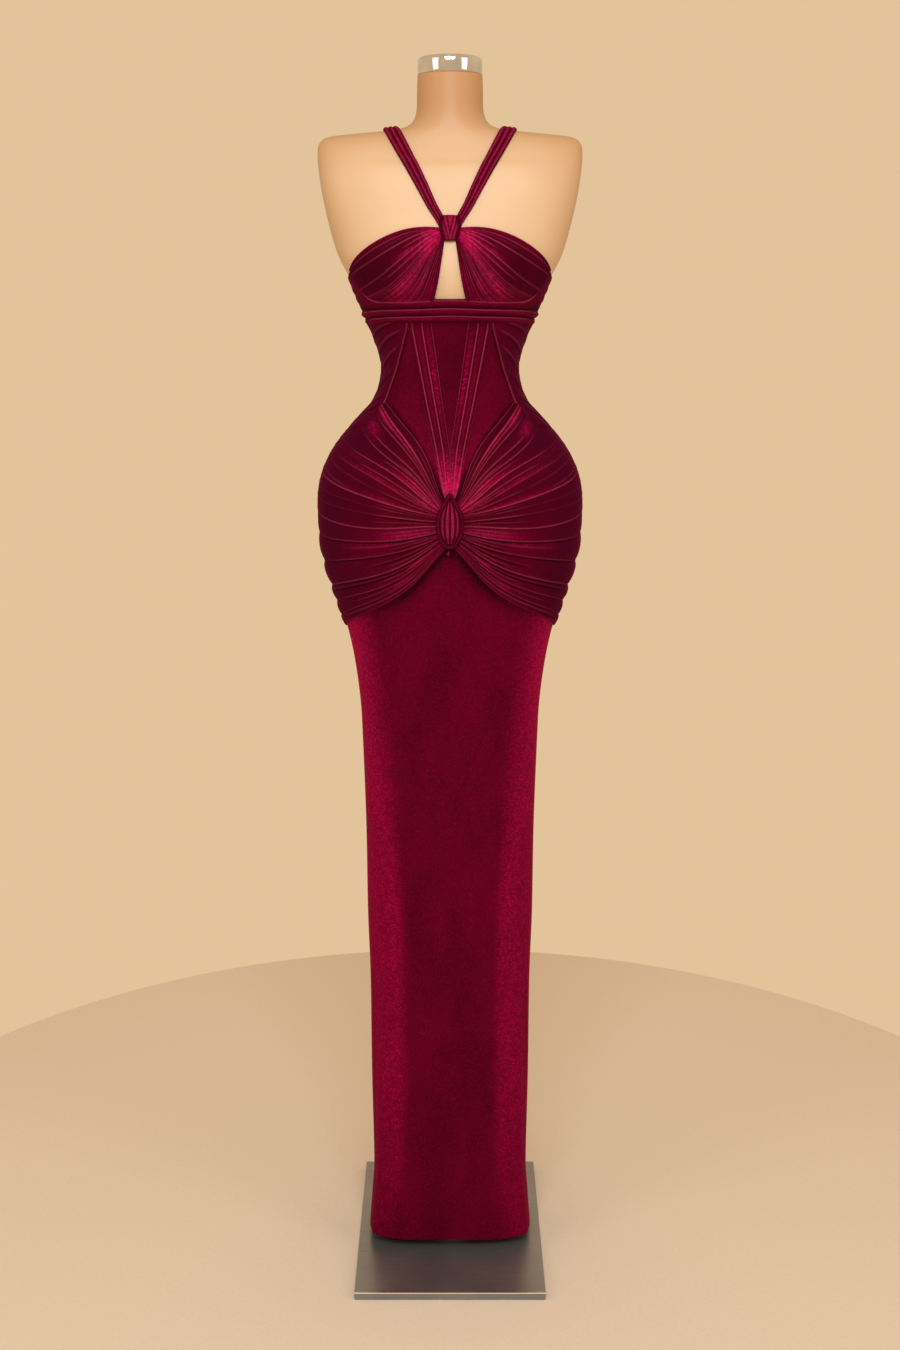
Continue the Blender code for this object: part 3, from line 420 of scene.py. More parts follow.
class Grid:
    # The u, v, girth and height of each point of a piece. measure adds x, how many metres one unit of
    # u and of v is there, and how far the point is from the borders at u = 0, u = 1, v = 0 and v = 1.

    def __init__(self, us, vs, place):
        self.us, self.vs = us, vs
        self.u, self.v = np.meshgrid(us, vs)
        self.girth, self.z = place(self.u, self.v)

    def measure(self, points):
        self.x = points[..., 0]
        self.perU = np.linalg.norm(np.gradient(points, self.us, axis=1), axis=-1)
        self.perV = np.linalg.norm(np.gradient(points, self.vs, axis=0), axis=-1)
        along = np.pad(np.cumsum(stepsBetween(points, 1), axis=1), ((0, 0), (1, 0)))
        up = np.pad(np.cumsum(stepsBetween(points, 0), axis=0), ((1, 0), (0, 0)))
        self.ends = [along, along[:, -1:] - along, up, up[-1:] - up]


clothEdge = {"radius": 0.0011, "leastShare": 0.30}


def clothPiece(name, wall, us, vs, place, marks, relief=None, wave=None, node=None):
    # A cloth wall on the figure, with the lift and the thickness of its table. place(u, v) gives girth
    # and height, wave moves both faces, relief only the outer one, and the outer face curves down to
    # the inner one at the border.
    g = Grid(us, vs, place)
    base = wall["lift"] + (wave(g.girth, g.z) if wave else 0) + np.zeros_like(g.u)
    g.measure(onDress(g.girth, g.z, base + wall["cloth"]))
    rise = relief(g) if relief else 0.0
    fromEdge = np.minimum.reduce(g.ends)
    roundness = np.sqrt(1 - (1 - np.clip(fromEdge / clothEdge["radius"], 0, 1)) ** 2)
    share = clothEdge["leastShare"] + (1 - clothEdge["leastShare"]) * roundness
    outer = onDress(g.girth, g.z, base + (wall["cloth"] + rise) * share)
    shares = np.stack([np.broadcast_to(part, g.u.shape) for part in marks(g)], -1)
    return shellPiece(name, outer, onDress(g.girth, g.z, base), shares, node)


sides = (("Left", 1.0), ("Right", -1.0))


def leftAndRight(name, wall, us, vs, place, marks, relief=None, wave=None):
    # The piece on the wearer's left, which place describes, and its mirror image.
    for side, sign in sides:
        def mirrored(u, v):
            girth, z = place(u, v)
            return girth * sign, z

        yield clothPiece(name + side, wall, us, vs, mirrored, marks, relief, wave)


def stops(count, span, fine=(0.0004, 0.0010, 0.0018)):  # 0 to 1, with a few stops close to each end
    ends = np.array(fine) / span
    between = np.linspace(0, 1, count + 1)
    between = between[(between > ends[-1] * 1.4) & (between < 1 - ends[-1] * 1.4)]
    return np.concatenate([[0], ends, between, 1 - ends[::-1], [1]])


seam = -0.0006  # girth: neighbouring panels overlap a little, so that no slit shows


def frontGirth(u):  # from side to side over the front
    return (2 * u - 1) * (1 - seam)


def backGirth(u):  # from the side to the centre back
    return 1 + seam + (1 - 2 * seam) * u


# Skirt: a long narrow column, one front and two backs

skirt = {
    "hem": 0.0265, "top": 1.165, "lift": 0.0009, "cloth": 0.0015,
    "frontColumns": 96, "backColumns": 56, "rows": 150,
    "rowShares": (0, 0.05, 0.60, 1), "rowPlaces": (0, 0.05, 0.85, 1),  # closer rows near the hip
    "frontCut": (0.42, 1.17), "backCut": (0.24, 1.17),
    "turnFold": 0.0032, "backFold": 0.0030,
    # height, girths where the painted sheen band starts and is full, and its share
    "paintedSheenBand": [(0.03, 0.34, 0.55, 0.12), (0.12, 0.31, 0.44, 0.15), (0.26, 0.30, 0.40, 0.28),
                  (0.60, 0.305, 0.405, 0.28), (0.71, 0.33, 0.50, 0.31), (0.84, 0.32, 0.66, 0.42),
                  (0.935, 0.36, 0.72, 0.49), (1.02, 0.40, 0.74, 0.56)],
}


def skirtFolds(girth, z):
    # Soft upright folds: a bell round the girth where the front turns, and a sine wave of three on each
    # half of the back, both dying out upwards.
    g = np.abs(girth)
    turn = 0.57 - 0.125 * smooth(z, 0.03, 0.70)
    front = skirt["turnFold"] * bell(g, turn, 0.06) * falling(z, 0.45, 0.80)
    back = skirt["backFold"] * (1 + np.sin(2 * np.pi * (g - 1.0) * 3)) * smooth(g, 1.12, 1.40)
    back = back * falling(z, 0.25, 0.85)
    second = 0.0010 * bell(g, 0.68, 0.03) * bell(z, 0.42, 0.10)
    slack = 0.0004 * np.sin(g * 9 + z * 5) * smooth(z, 0.1, 0.3) * falling(z, 0.85, 1.0)
    return front + back * (1 - smooth(g, 1.93, 2.0) * 0.6) + second + slack


def dropShadow(girth, z):  # soft dark band on the skirt just under the hip drape's hem
    table = np.array(hipDrape["pleats"])
    hem = np.interp(girth, *fanPlace(table, np.linspace(0, 1, 60), np.full(60, len(table) - 1.0)))
    shade = np.maximum(bell(z, hem - 0.0050, 0.0072), 0.50 * bell(z, hem - 0.008, 0.016))
    return shade * (0.15 + 0.85 * bell(np.abs(girth), 0.12, 0.30))


def skirtMarks(g):
    # Painted sheen where the front turns to the side: a band that starts sharply below and spreads softly
    # near the hip, brightest at the very side under the hip drape; painted highlights on the back folds,
    # painted shade along the front fold and the painted shadow under the hip drape.
    z, girth = g.z, np.abs(g.girth)
    heights, starts, fulls, shares = np.array(skirt["paintedSheenBand"]).T
    low, high = np.interp(z, heights, starts), np.interp(z, heights, fulls)
    band = smooth((girth - low) / (high - low), 0, 1) * np.interp(z, heights, shares)
    band = band * falling(girth, 0.85, 1.15)
    back = 0.16 * (0.5 + 0.5 * np.cos(2 * np.pi * (girth - 1.0) * 3)) * smooth(girth, 1.15, 1.35)
    foldShade = 0.35 * bell(girth, 0.66, 0.04) * falling(z, 0.35, 0.6)
    return 0.0, 0.07 + band + back - 0.2 * foldShade, 0.25 * foldShade, 0.95 * dropShadow(girth, z)


def buildSkirt():
    height = skirt["top"] - skirt["hem"]
    rows = np.interp(stops(skirt["rows"], height), skirt["rowShares"], skirt["rowPlaces"])
    piece = clothPiece("skirtFront", skirt, stops(skirt["frontColumns"], 0.33), rows,
                       lambda u, v: (frontGirth(u), skirt["hem"] + height * v), skirtMarks, wave=skirtFolds)
    for piece in leftAndRight("skirtBack", skirt, stops(skirt["backColumns"], 0.20), rows,
                              lambda u, v: (backGirth(u), skirt["hem"] + height * v),
                              skirtMarks, wave=skirtFolds):
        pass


# Corset: a plain inverted triangle, two pleated strips, plain side fronts, draped sides and two backs

corset = {
    "top": 1.4500, "lift": 0.0009, "cloth": 0.0015, "sideMeets": 1.2885, "backMeets": 1.3068, "tuck": 0.0030,
    "panelFoot": 1.2660, "stripFoot": 1.1960,
    # x and z along the seams, from the top down
    "centreSeam": [(0.0259, 1.4500), (0.0243, 1.4384), (0.0120, 1.3480), (0.0002, 1.2680), (0.0001, 1.1960)],
    "pleatSeam": [(0.0573, 1.4384), (0.0352, 1.3255), (0.0223, 1.2662), (0.0105, 1.2139), (0.0068, 1.2040),
                  (0.0045, 1.1960)],
    "sideFrontSeam": [(0.0580, 1.4384), (0.0643, 1.4139), (0.0734, 1.3790), (0.0880, 1.3395),
                      (0.0900, 1.3362), (0.0895, 1.3300), (0.0590, 1.2885), (0.0490, 1.2755),
                      (0.0345, 1.2455), (0.0205, 1.2140), (0.0150, 1.2040), (0.0125, 1.1960)],
    "sideDrapeEdge": [(0.0570, 1.4500), (0.0580, 1.4384), (0.0643, 1.4139), (0.0734, 1.3790),
                      (0.0872, 1.3395), (0.0925, 1.3272), (0.1195, 1.2985)],
    "stripEdges": [0.0, 0.40, 0.80, 1.0], "stripHeight": 0.0017,
    "sideFolds": 2.5, "sideHeight": 0.0020, "overFan": 0.0036,
}


def buildCentrePanel():
    def place(u, v):  # from the left seam to the right one, which meet at the foot
        z = corset["top"] + (corset["panelFoot"] - corset["top"]) * v
        return (seamGirth(corset["centreSeam"], z) - seam) * (2 * u - 1), z

    def marks(g):
        # painted sheen towards the foot, painted shade over the panel and under the band
        return 0.0, 0.03 + 0.20 * smooth(g.v, 0.75, 1.0), 0.0, 0.12 + 0.5 * bell(g.v, 0, 0.04)

    piece = clothPiece("centrePanel", corset, stops(28, 0.03), stops(60, 0.17), place, marks,
                       node="centre_front_panel")


def betweenSeams(first, second):  # where a panel lies that runs from one seam to the next
    def place(u, v):
        z = corset["top"] + (corset["stripFoot"] - corset["top"]) * v
        inner = seamGirth(corset[first], z) + seam
        outer = seamGirth(corset[second], z) - seam
        return inner + (outer - inner) * u, z

    return place


def stripFold(u):
    # Folds between the strip's edges: each falls steeply from its outer edge and swells up again.
    edges = np.array(corset["stripEdges"])
    place = np.interp(u, edges, np.arange(len(edges)))
    part = place - np.floor(np.minimum(place, len(edges) - 1.0001))
    return np.sin(np.pi * np.clip(part, 0, 1) ** 0.75) ** 0.8


def stripLine(g):  # distance in metres to the nearest fold edge of the strip
    edges = np.array(corset["stripEdges"])
    return np.abs(g.u[..., None] - edges).min(-1) * g.perU


def buildFrontPleats():
    def relief(g):  # the folds flatten towards the foot, with crumples in the upper part
        crumple = 0.0005 * np.sin(95 * g.v + 9 * g.u) * bell(g.v, 0.42, 0.14) * bell(g.u, 0.22, 0.2)
        return corset["stripHeight"] * stripFold(g.u) * (1 - 0.6 * smooth(g.v, 0.7, 0.95)) + crumple

    def marks(g):
        # painted highlight lines on the fold edges, painted sheen in blotches broken up as if wrinkled and
        # brighter towards the foot, painted shade beside each line and under the band
        line = 0.85 * bell(stripLine(g), 0, 0.0007)
        wrinkle = 0.40 * np.sin(250 * g.v + 11 * g.u) + 0.30 * np.sin(143 * g.v - 7 * g.u)
        blotch = 0.40 * bell(g.v, 0.33, 0.15) * bell(g.u, 0.2, 0.14) * np.clip(0.50 + wrinkle, 0, 1)
        low = smooth(g.v, 0.66, 0.96) * (0.50 + 0.65 * stripFold(g.u))
        paintedSheen = 0.03 + 0.07 * stripFold(g.u) + blotch + low
        beside = 0.50 * bell(stripLine(g), 0.0022, 0.0010) * (1 - low)
        return line, paintedSheen, 0.0, np.maximum(beside, 0.6 * bell(g.v, 0, 0.05))

    for piece in leftAndRight("frontPleats", corset, stops(54, 0.025), stops(130, 0.254),
                              betweenSeams("centreSeam", "pleatSeam"), marks, relief):
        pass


def buildSideFronts():
    edge = hipDrape["pleats"][0]  # the hip drape's top pleat shades the panel beside it

    def marks(g):
        # painted sheen near the bottom, painted shadow beside the side drape's edge and under the hip drape's
        # top pleat
        bottom = 0.18 * smooth(g.v, 0.55, 0.8) * falling(g.v, 0.85, 1.0)
        beside = 0.75 * bell(g.ends[1], 0, 0.0045) * falling(g.v, 0.44, 0.50)
        edgeX = np.interp(g.z, edge[1:8:2], edge[0:8:2])
        under = 0.70 * bell(np.abs(g.x), edgeX, 0.005) * smooth(g.v, 0.44, 0.52)
        return 0.0, 0.03 + 0.03 * bell(g.u, 0.4, 0.3) + 0.5 * bottom, 0.0, np.maximum(beside, under)

    for piece in leftAndRight("sideFront", corset, stops(32, 0.035), stops(80, 0.22),
                              betweenSeams("pleatSeam", "sideFrontSeam"), marks):
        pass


def overFan(girth, z):  # how far the lower edge is lifted to lie over the hip drape
    low = falling(z, corset["sideMeets"] + 0.006, 1.345)
    return corset["overFan"] * low * falling(np.abs(girth), 0.70, 0.95)


def buildSideDrapes():
    edge = np.array(corset["sideDrapeEdge"])

    def place(u, v):  # from the drape's front edge, which is a line of points, across to the side
        order = np.linspace(0, 1, len(edge))
        edgeX, edgeZ = np.interp(v, order, edge[:, 0]), np.interp(v, order, edge[:, 1])
        inner = girthAt(edgeX, edgeZ) + seam
        outerZ = corset["top"] + (corset["sideMeets"] - corset["tuck"] - corset["top"]) * v
        return inner + (1 - seam - inner) * u, edgeZ + (outerZ - edgeZ) * u + 0.0003 * v

    def way(g):  # whole at each fold
        return (corset["sideFolds"] * g.v - 0.55 * g.u) * 2.6

    def relief(g):  # slanting folds, steep above and soft below, growing from the front edge to the side
        swell = np.interp(way(g) % 1, (0, 0.18, 0.6, 1), (1, 0.1, 0.45, 1))
        return 0.0010 + corset["sideHeight"] * (swell * smooth(g.u, 0.0, 0.35) * (0.5 + 0.5 * g.u))

    def marks(g):
        # painted highlight lines on the folds and along the front edge, darker plum towards the side (partly
        # duller pile, partly painted shade), painted shade in the folds and under the band
        fold = way(g)
        line = bell((fold - np.rint(fold)) * 0.012, 0, 0.0009) * smooth(g.u, 0.04, 0.2)
        line = line * falling(g.v, 0.35, 0.60)
        rim = bell(np.maximum(g.ends[0] - 0.0006, 0), 0, 0.0011) * falling(g.v, 0.80, 0.95)
        plumPileAndShade = 0.45 + 0.45 * smooth(g.u, 0.1, 0.6)
        deep = 0.45 * bell(fold % 1, 0.2, 0.12) * smooth(g.u, 0.1, 0.3)
        return 0.26 * line + 0.50 * rim, 0.03 * (1 - g.u), plumPileAndShade, np.maximum(deep, 0.5 * bell(g.v, 0, 0.02))

    for piece in leftAndRight("sideDrape", corset, stops(56, 0.06), stops(96, 0.16), place, marks, relief,
                              overFan):
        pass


def buildBodiceBacks():
    def place(u, v):  # the foot rises in an S from the side to the centre back
        top, side, back = corset["top"], corset["sideMeets"], corset["backMeets"]
        foot = side + (back - side) * smooth(u, 0, 1) - corset["tuck"]
        return backGirth(u), top + (foot - top) * v

    def relief(g):  # the side drape's thickness runs out, with shallow slanting pulls
        pull = 0.0005 * np.sin(2 * np.pi * (4.0 * g.v + 0.5 * g.u)) * falling(g.u, 0.3, 0.9)
        return 0.0024 * falling(g.u, 0.0, 0.7) + np.abs(pull)

    def marks(g):
        # painted sheen in the middle, darker plum near the side, partly duller pile and partly painted shade
        return 0.0, 0.05 + 0.10 * bell(g.u, 0.55, 0.3), 0.55 * falling(g.u, 0.0, 0.45), 0.0

    for piece in leftAndRight("bodiceBack", corset, stops(48, 0.13), stops(60, 0.14), place, marks, relief,
                              overFan):
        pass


# Band under the bust: three lying folds all round

band = {
    "lift": 0.0009, "cloth": 0.0015, "height": 0.0034,
    # foldPale is the strength of each fold's painted highlight line, from the small side fold to the top one
    "foldEdges": (0.0100, 0.0200), "foldPale": (0.30, 0.9, 1.0, 0.8),
    # girth and height of the lowest fold's edge, and how far a small fold shows under it at the side
    "edge": [(0.0, 1.4455), (0.30, 1.4450), (0.55, 1.4425), (0.80, 1.4400), (1.2, 1.4400), (2.0, 1.4410)],
    "under": 0.0090,
    # girth and height of the top edge
    "top": [(0.0, 1.4766), (0.12, 1.4768), (0.25, 1.4760), (0.38, 1.4750), (0.50, 1.4744),
            (0.56, 1.4762), (0.615, 1.4800), (0.655, 1.4860), (0.680, 1.4950), (0.695, 1.5030),
            (0.712, 1.5105), (0.735, 1.5140), (0.76, 1.5125), (0.84, 1.5080), (1.0, 1.5040),
            (1.12, 1.4990), (1.25, 1.4930), (1.5, 1.4820), (2.0, 1.4720)],
}


def bandEdge(girth):
    return np.interp(np.abs(girth), *np.array(band["edge"]).T)


def bandHeight(girth, v):
    girth = np.abs(girth)
    top = np.interp(girth, *np.array(band["top"]).T)
    bottom = bandEdge(girth) - band["under"] * smooth(girth, 0.42, 0.75) * falling(girth, 1.3, 1.8)
    return bottom + (top - bottom) * v


def bandFold(g):
    # Which fold a point is in, 0 for the small one at the side and 3 for the top one, and its place in
    # it from 0 to 1. The edges between folds are heights over the lowest fold's edge; they wave a little.
    girth = np.abs(g.girth)
    up = g.z - bandEdge(girth) + 0.0006 * np.sin(7 * girth + 1.0) * smooth(girth, 0.05, 0.4)
    under = bandHeight(girth, 0.0) - bandEdge(girth)
    whole = bandHeight(girth, 1.0) - bandEdge(girth)
    low, high = band["foldEdges"]
    fold = (up > 0) * 1.0 + (up > low) + (up > high)
    start = np.choose(fold.astype(int), (np.minimum(under, -0.0001), 0, low, high))
    end = np.choose(fold.astype(int), (0, low, high, whole))
    return fold, np.clip((up - start) / (end - start), 0, 1)


def bandRelief(g):
    # Each fold rises from its lower edge, swells and turns in sharply under the fold above it.
    fold, part = bandFold(g)
    girth = np.abs(g.girth)
    side = smooth(girth, 0.55, 0.74) * falling(girth, 1.3, 1.7)
    flat = np.where(fold > 2, 1 - 0.80 * side, np.where(fold < 1, 0.45, 1))
    ripple = 0.0005 * side * (fold > 2) * (1 + np.sin(2 * np.pi * 3.5 * part)) * np.sin(np.pi * part)
    return band["height"] * flat * (0.10 + 0.90 * np.sin(np.pi * part ** 1.6) ** 0.7) + 0.0003 + ripple


def bandMarks(g):
    # painted highlight lines near each fold's top and along the upper edge at the side, painted sheen on the
    # folds, darker plum towards the sides (partly duller pile, partly painted shade), painted shade in the gaps
    # between folds and under the top edge
    fold, part = bandFold(g)
    girth = np.abs(g.girth)
    pale = np.interp(fold, np.arange(4), band["foldPale"])
    line = bell(part, 0.90, 0.055) * (1 - smooth(girth, 0.6, 0.7) * (fold > 2))
    second = 0.4 * bell(part, 0.52 + 0.1 * np.sin(5 * girth), 0.04) * smooth(girth, 0.3, 0.6) * (fold < 3)
    strand = 0.9 * bell(g.ends[3], 0.0012, 0.0009) * smooth(girth, 0.45, 0.62)
    gap = np.maximum(bell(part, 0.0, 0.16), bell(part, 1.0, 0.05)) * (fold > 0)
    front = falling(girth, 0.15, 0.75)
    paintedSheen = 0.01 + 0.09 * (0.4 + 0.6 * front) * bell(part, 0.60, 0.16)
    beside = 0.6 * bell(g.ends[3], 0.0042, 0.0012) * smooth(girth, 0.5, 0.62)
    ridge = 0.62 * np.maximum(pale * np.maximum(line, second), strand)
    return ridge, paintedSheen, 0.35 * smooth(girth, 0.55, 0.85), np.maximum(0.9 * gap, beside)


def buildBand():
    rows = stops(52, 0.035)
    piece = clothPiece("bandFront", band, stops(150, 0.36), rows,
                       lambda u, v: (frontGirth(u), bandHeight(frontGirth(u), v)), bandMarks, bandRelief)
    for piece in leftAndRight("bandBack", band, stops(70, 0.17), rows,
                              lambda u, v: (backGirth(u), bandHeight(backGirth(u), v)),
                              bandMarks, bandRelief):
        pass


# Fans of pleats: four stations along each pleat, as seen from the front

def fanPlace(table, u, v):
    # A cubic through four stations along the pleat, and straight lines between neighbouring pleats.
    i = np.minimum(v.astype(int), len(table) - 2)
    f = (v - i)[..., None]
    stations = []
    for k in range(4):
        x, z = table[:, 2 * k], table[:, 2 * k + 1]
        spots = np.stack([girthAt(x, z), z], -1)
        stations.append(spots[i] + (spots[i + 1] - spots[i]) * f)
    t = (u * 3)[..., None]
    a, b, c, d = stations
    place = a * ((t - 1) * (t - 2) * (t - 3) / -6) + b * (t * (t - 2) * (t - 3) / 2)
    place = place + c * (t * (t - 1) * (t - 3) / -2) + d * (t * (t - 1) * (t - 2) / 6)
    return place[..., 0], place[..., 1]


def pleatStops(count, parts, extra=()):
    # Stops of v: the parts of each pleat, the last pleat, and extra ones this far above it.
    every = [k + part for k in range(count - 1) for part in parts]
    return np.sort(every + [count - 1 - above for above in extra] + [count - 1])


def alongTable(v, table, column):  # a column of the pleats' table, straight from pleat to pleat
    return np.interp(v, np.arange(len(table)), table[:, column])


def foldLine(g):  # metres below (+) or above (-) the nearest pleat, which lies at a whole v
    return (g.v - np.rint(g.v)) * g.perV


def foldShape(g):
    # A narrow ridge on each pleat, steep below and softer above, and a low swell of cloth between pleats.
    away = foldLine(g)
    above, below = np.minimum(0.0030, 0.26 * g.perV), np.minimum(0.0013, 0.13 * g.perV)
    ridge = bell(away, 0, np.where(away < 0, above, below))
    part = g.v % 1
    return 0.62 * ridge + 0.38 * np.sin(np.pi * part ** 0.8) ** 1.2 * (1 - 0.6 * ridge)


def uncrowded(g):  # 1 where the pleats are 11 mm apart or more, less where they crowd together
    return np.clip(g.perV / 0.011, 0.30, 1)


def foldMarks(g, pale, dark):  # the painted highlight line on each pleat and the painted shade just below it
    away = foldLine(g)
    width = np.minimum(0.0009, 0.12 * g.perV)
    return bell(away, 0, width) * pale * uncrowded(g), bell(away, 2.4 * width, 1.3 * width) * dark


creaseDepth = 0.0006


def smallCreases(g, creases):
    # Each crease is a straight line in u and v between two stops of u, pale on top, dark below: a painted
    # highlight and painted shade.
    pale, dark = np.zeros_like(g.v), np.zeros_like(g.v)
    for line, toLine, fromU, toU, paleShare, darkShare in creases:
        away = (g.v - line - (toLine - line) * g.u) * g.perV
        along = smooth(g.u, fromU - 0.05, fromU + 0.04) * falling(g.u, toU - 0.14, toU)
        pale = np.maximum(pale, paleShare * along * bell(away, 0, 0.0009) * uncrowded(g))
        dark = np.maximum(dark, darkShare * along * bell(away, 0.0022, 0.0015))
    return pale, dark


def withCreases(relief, g, creases):  # a relief with its small creases added
    pale, dark = smallCreases(g, creases)
    return relief + creaseDepth * pale - creaseDepth * dark


def allLines(g, pale, dark, creases, softer=0.0):  # painted highlight lines and painted shade in the hollows of pleats and creases
    line, paintedShade = foldMarks(g, pale, dark)
    smallLine, smallHollow = smallCreases(g, creases)
    return np.maximum(line, smallLine * (1 - softer * g.u)), np.maximum(paintedShade, smallHollow)


def paintedGlints(g, table):  # painted highlights, as bells in u and v
    share = np.zeros_like(g.v)
    for u, v, wideU, wideV, strength in table:
        share = share + strength * bell(g.u, u, wideU) * bell(g.v, v, wideV)
    return share


hipDrape = {
    "lift": 0.0036, "cloth": 0.0016, "columns": 82,
    # x and z at four stations, the fold's height along its middle and at its outer end, how strong its painted
    # highlight line is, how dark its painted shade, where along it they fade, and where it meets the centre
    # back
    "pleats": [
        (0.0085, 1.2000, 0.0255, 1.2440, 0.0505, 1.2890, 0.0873, 1.3325, 0.0014, 0.0012, 0.75, 0.55, 1.20, 0),
        (0.0100, 1.1965, 0.0335, 1.2390, 0.0620, 1.2850, 0.0935, 1.3285, 0.0016, 0.0012, 1.00, 0.50, 1.20, 0),
        (0.0115, 1.1930, 0.0370, 1.2360, 0.0690, 1.2775, 0.1010, 1.3200, 0.0016, 0.0012, 0.75, 0.45, 0.97, 0),
        (0.0130, 1.1905, 0.0440, 1.2265, 0.0840, 1.2575, 0.1205, 1.3005, 0.0016, 0.0012, 0.70, 0.55, 0.93, 0),
        (0.0145, 1.1880, 0.0600, 1.2240, 0.1120, 1.2560, 0.5, 1.2880, 0.0016, 0.0008, 0.85, 0.45, 0.80, 1.3060),
        (0.0158, 1.1845, 0.0700, 1.2110, 0.1270, 1.2420, 0.5, 1.2680, 0.0018, 0.0008, 0.30, 0.30, 0.85, 1.2860),
        (0.0168, 1.1805, 0.0720, 1.1925, 0.1360, 1.2110, 0.5, 1.2370, 0.0020, 0.0008, 0.85, 0.45, 0.97, 1.2630),
        (0.0172, 1.1770, 0.0720, 1.1850, 0.1370, 1.1980, 0.5, 1.2180, 0.0018, 0.0008, 0.60, 0.40, 0.50, 1.2400),
        (0.0175, 1.1725, 0.0720, 1.1775, 0.1370, 1.1850, 0.5, 1.2010, 0.0018, 0.0008, 0.70, 0.95, 0.55, 1.2170),
        (0.0175, 1.1660, 0.0720, 1.1630, 0.1380, 1.1628, 0.5, 1.1825, 0.0020, 0.0012, 0.70, 0.40, 0.97, 1.1920),
        (0.0172, 1.1580, 0.0700, 1.1465, 0.1370, 1.1415, 0.5, 1.1455, 0.0022, 0.0032, 0.42, 1.00, 1.20, 1.1620),
        (0.0158, 1.1505, 0.0690, 1.1300, 0.1340, 1.1160, 0.5, 1.1020, 0.0026, 0.0048, 0.35, 1.00, 1.20, 1.1280),
        (0.0135, 1.1460, 0.0640, 1.1110, 0.1250, 1.0870, 0.5, 1.0655, 0.0022, 0.0038, 0.55, 0.95, 1.20, 1.0950),
        (0.0110, 1.1420, 0.0590, 1.0985, 0.1190, 1.0680, 0.5, 1.0415, 0.0024, 0.0034, 0.30, 0.60, 1.00, 1.0680),
        (0.0080, 1.1390, 0.0530, 1.0925, 0.1120, 1.0545, 0.5, 1.0190, 0.0018, 0.0024, 0.25, 0.50, 1.10, 1.0440),
        (0.0050, 1.1355, 0.0480, 1.0860, 0.1060, 1.0435, 0.5, 1.0037, 0.0006, 0.0006, 0.45, 0.20, 1.20, 1.0240),
    ],
    # small creases: line at the ornament and at the side, from and to along it, painted highlight and shade
    # shares
    "creases": [
        (0.45, 0.55, 0.10, 0.60, 0.45, 0.30), (1.55, 1.40, 0.25, 1.05, 0.55, 0.20),
        (2.50, 2.65, 0.05, 0.90, 0.75, 0.45), (2.80, 2.95, 0.02, 0.60, 0.60, 0.40),
        (3.40, 3.30, 0.05, 0.70, 0.70, 0.35), (3.70, 3.80, 0.00, 0.42, 0.55, 0.30),
        (4.45, 4.60, 0.08, 0.72, 0.60, 0.35), (4.70, 4.75, 0.02, 0.40, 0.45, 0.45),
        (5.40, 5.55, 0.05, 0.55, 0.40, 0.50), (5.75, 5.25, 0.55, 0.98, 0.22, 0.10),
        (6.30, 5.70, 0.72, 1.00, 0.35, 0.15), (6.55, 6.45, 0.03, 0.52, 0.40, 0.60),
        (8.45, 8.60, 0.04, 0.60, 0.25, 0.35), (9.35, 9.45, 0.05, 0.50, 0.30, 0.25),
        (9.70, 9.60, 0.03, 0.45, 0.30, 0.15), (10.30, 10.45, 0.05, 0.75, 0.30, 0.30),
        (10.60, 10.75, 0.00, 0.45, 0.25, 0.65), (11.35, 11.55, 0.08, 0.62, 0.25, 0.75),
        (11.70, 11.75, 0.02, 0.50, 0.35, 0.50), (12.35, 12.30, 0.30, 1.00, 0.20, 0.90),
        (12.60, 12.60, 0.05, 0.60, 0.35, 0.35), (13.45, 13.50, 0.10, 0.80, 0.30, 0.30),
        (14.50, 14.40, 0.05, 0.90, 0.40, 0.15),
    ],
    "backCreases": [
        (0.45, 0.60, 0.10, 0.80, 0.25, 0.30), (1.60, 1.40, 0.25, 1.10, 0.30, 0.35),
        (3.40, 3.55, 0.00, 0.60, 0.20, 0.30), (4.50, 4.35, 0.35, 1.10, 0.30, 0.30),
        (6.45, 6.60, 0.00, 0.70, 0.25, 0.45), (7.50, 7.40, 0.20, 1.10, 0.25, 0.50),
        (8.40, 8.50, 0.00, 0.55, 0.20, 0.50), (9.55, 9.45, 0.30, 1.10, 0.25, 0.30),
    ],
    # painted highlights: u, v, width in u, width in v, strength
    "paintedGlints": [
        (0.66, 1.12, 0.24, 0.07, 1.20), (0.90, 1.45, 0.09, 0.22, 0.80), (0.60, 1.50, 0.20, 0.12, 0.35),
        (0.90, 2.50, 0.06, 0.28, 0.75), (0.30, 3.35, 0.13, 0.28, 0.60), (0.40, 3.85, 0.18, 0.20, 0.30),
        (0.55, 4.88, 0.32, 0.16, 0.30), (0.78, 4.35, 0.14, 0.22, 0.22), (0.40, 5.95, 0.30, 0.20, 0.22),
        (0.28, 9.60, 0.20, 0.45, 0.35), (0.55, 10.30, 0.16, 0.22, 0.20), (0.42, 13.70, 0.08, 0.22, 0.35),
        (0.25, 12.60, 0.14, 0.25, 0.25),
    ],
    "parts": (0, 0.02, 0.045, 0.08, *np.arange(0.12, 0.93, 0.045), 0.955, 0.98),
}
hipSideZ, hipRise, hipSideRise, hipPale, hipDark, hipFade, hipBackZ = range(7, 14)  # columns of its pleats


def hipHeights(g, table, u):
    middle, side = alongTable(g.v, table, hipRise), alongTable(g.v, table, hipSideRise)
    return middle + (side - middle) * smooth(u, 0.5, 0.95)


def fading(g, table):  # 1 along a pleat, falling to a small share past the place where it fades
    return 1 - 0.85 * smooth(g.u - alongTable(g.v, table, hipFade), -0.16, 0.02)


def gathers(g):  # at the outer end of the lower pleats the cloth bulges out between sharp valleys
    part = g.v % 1
    return np.abs(np.sin(np.pi * part ** 0.85)) ** 0.55


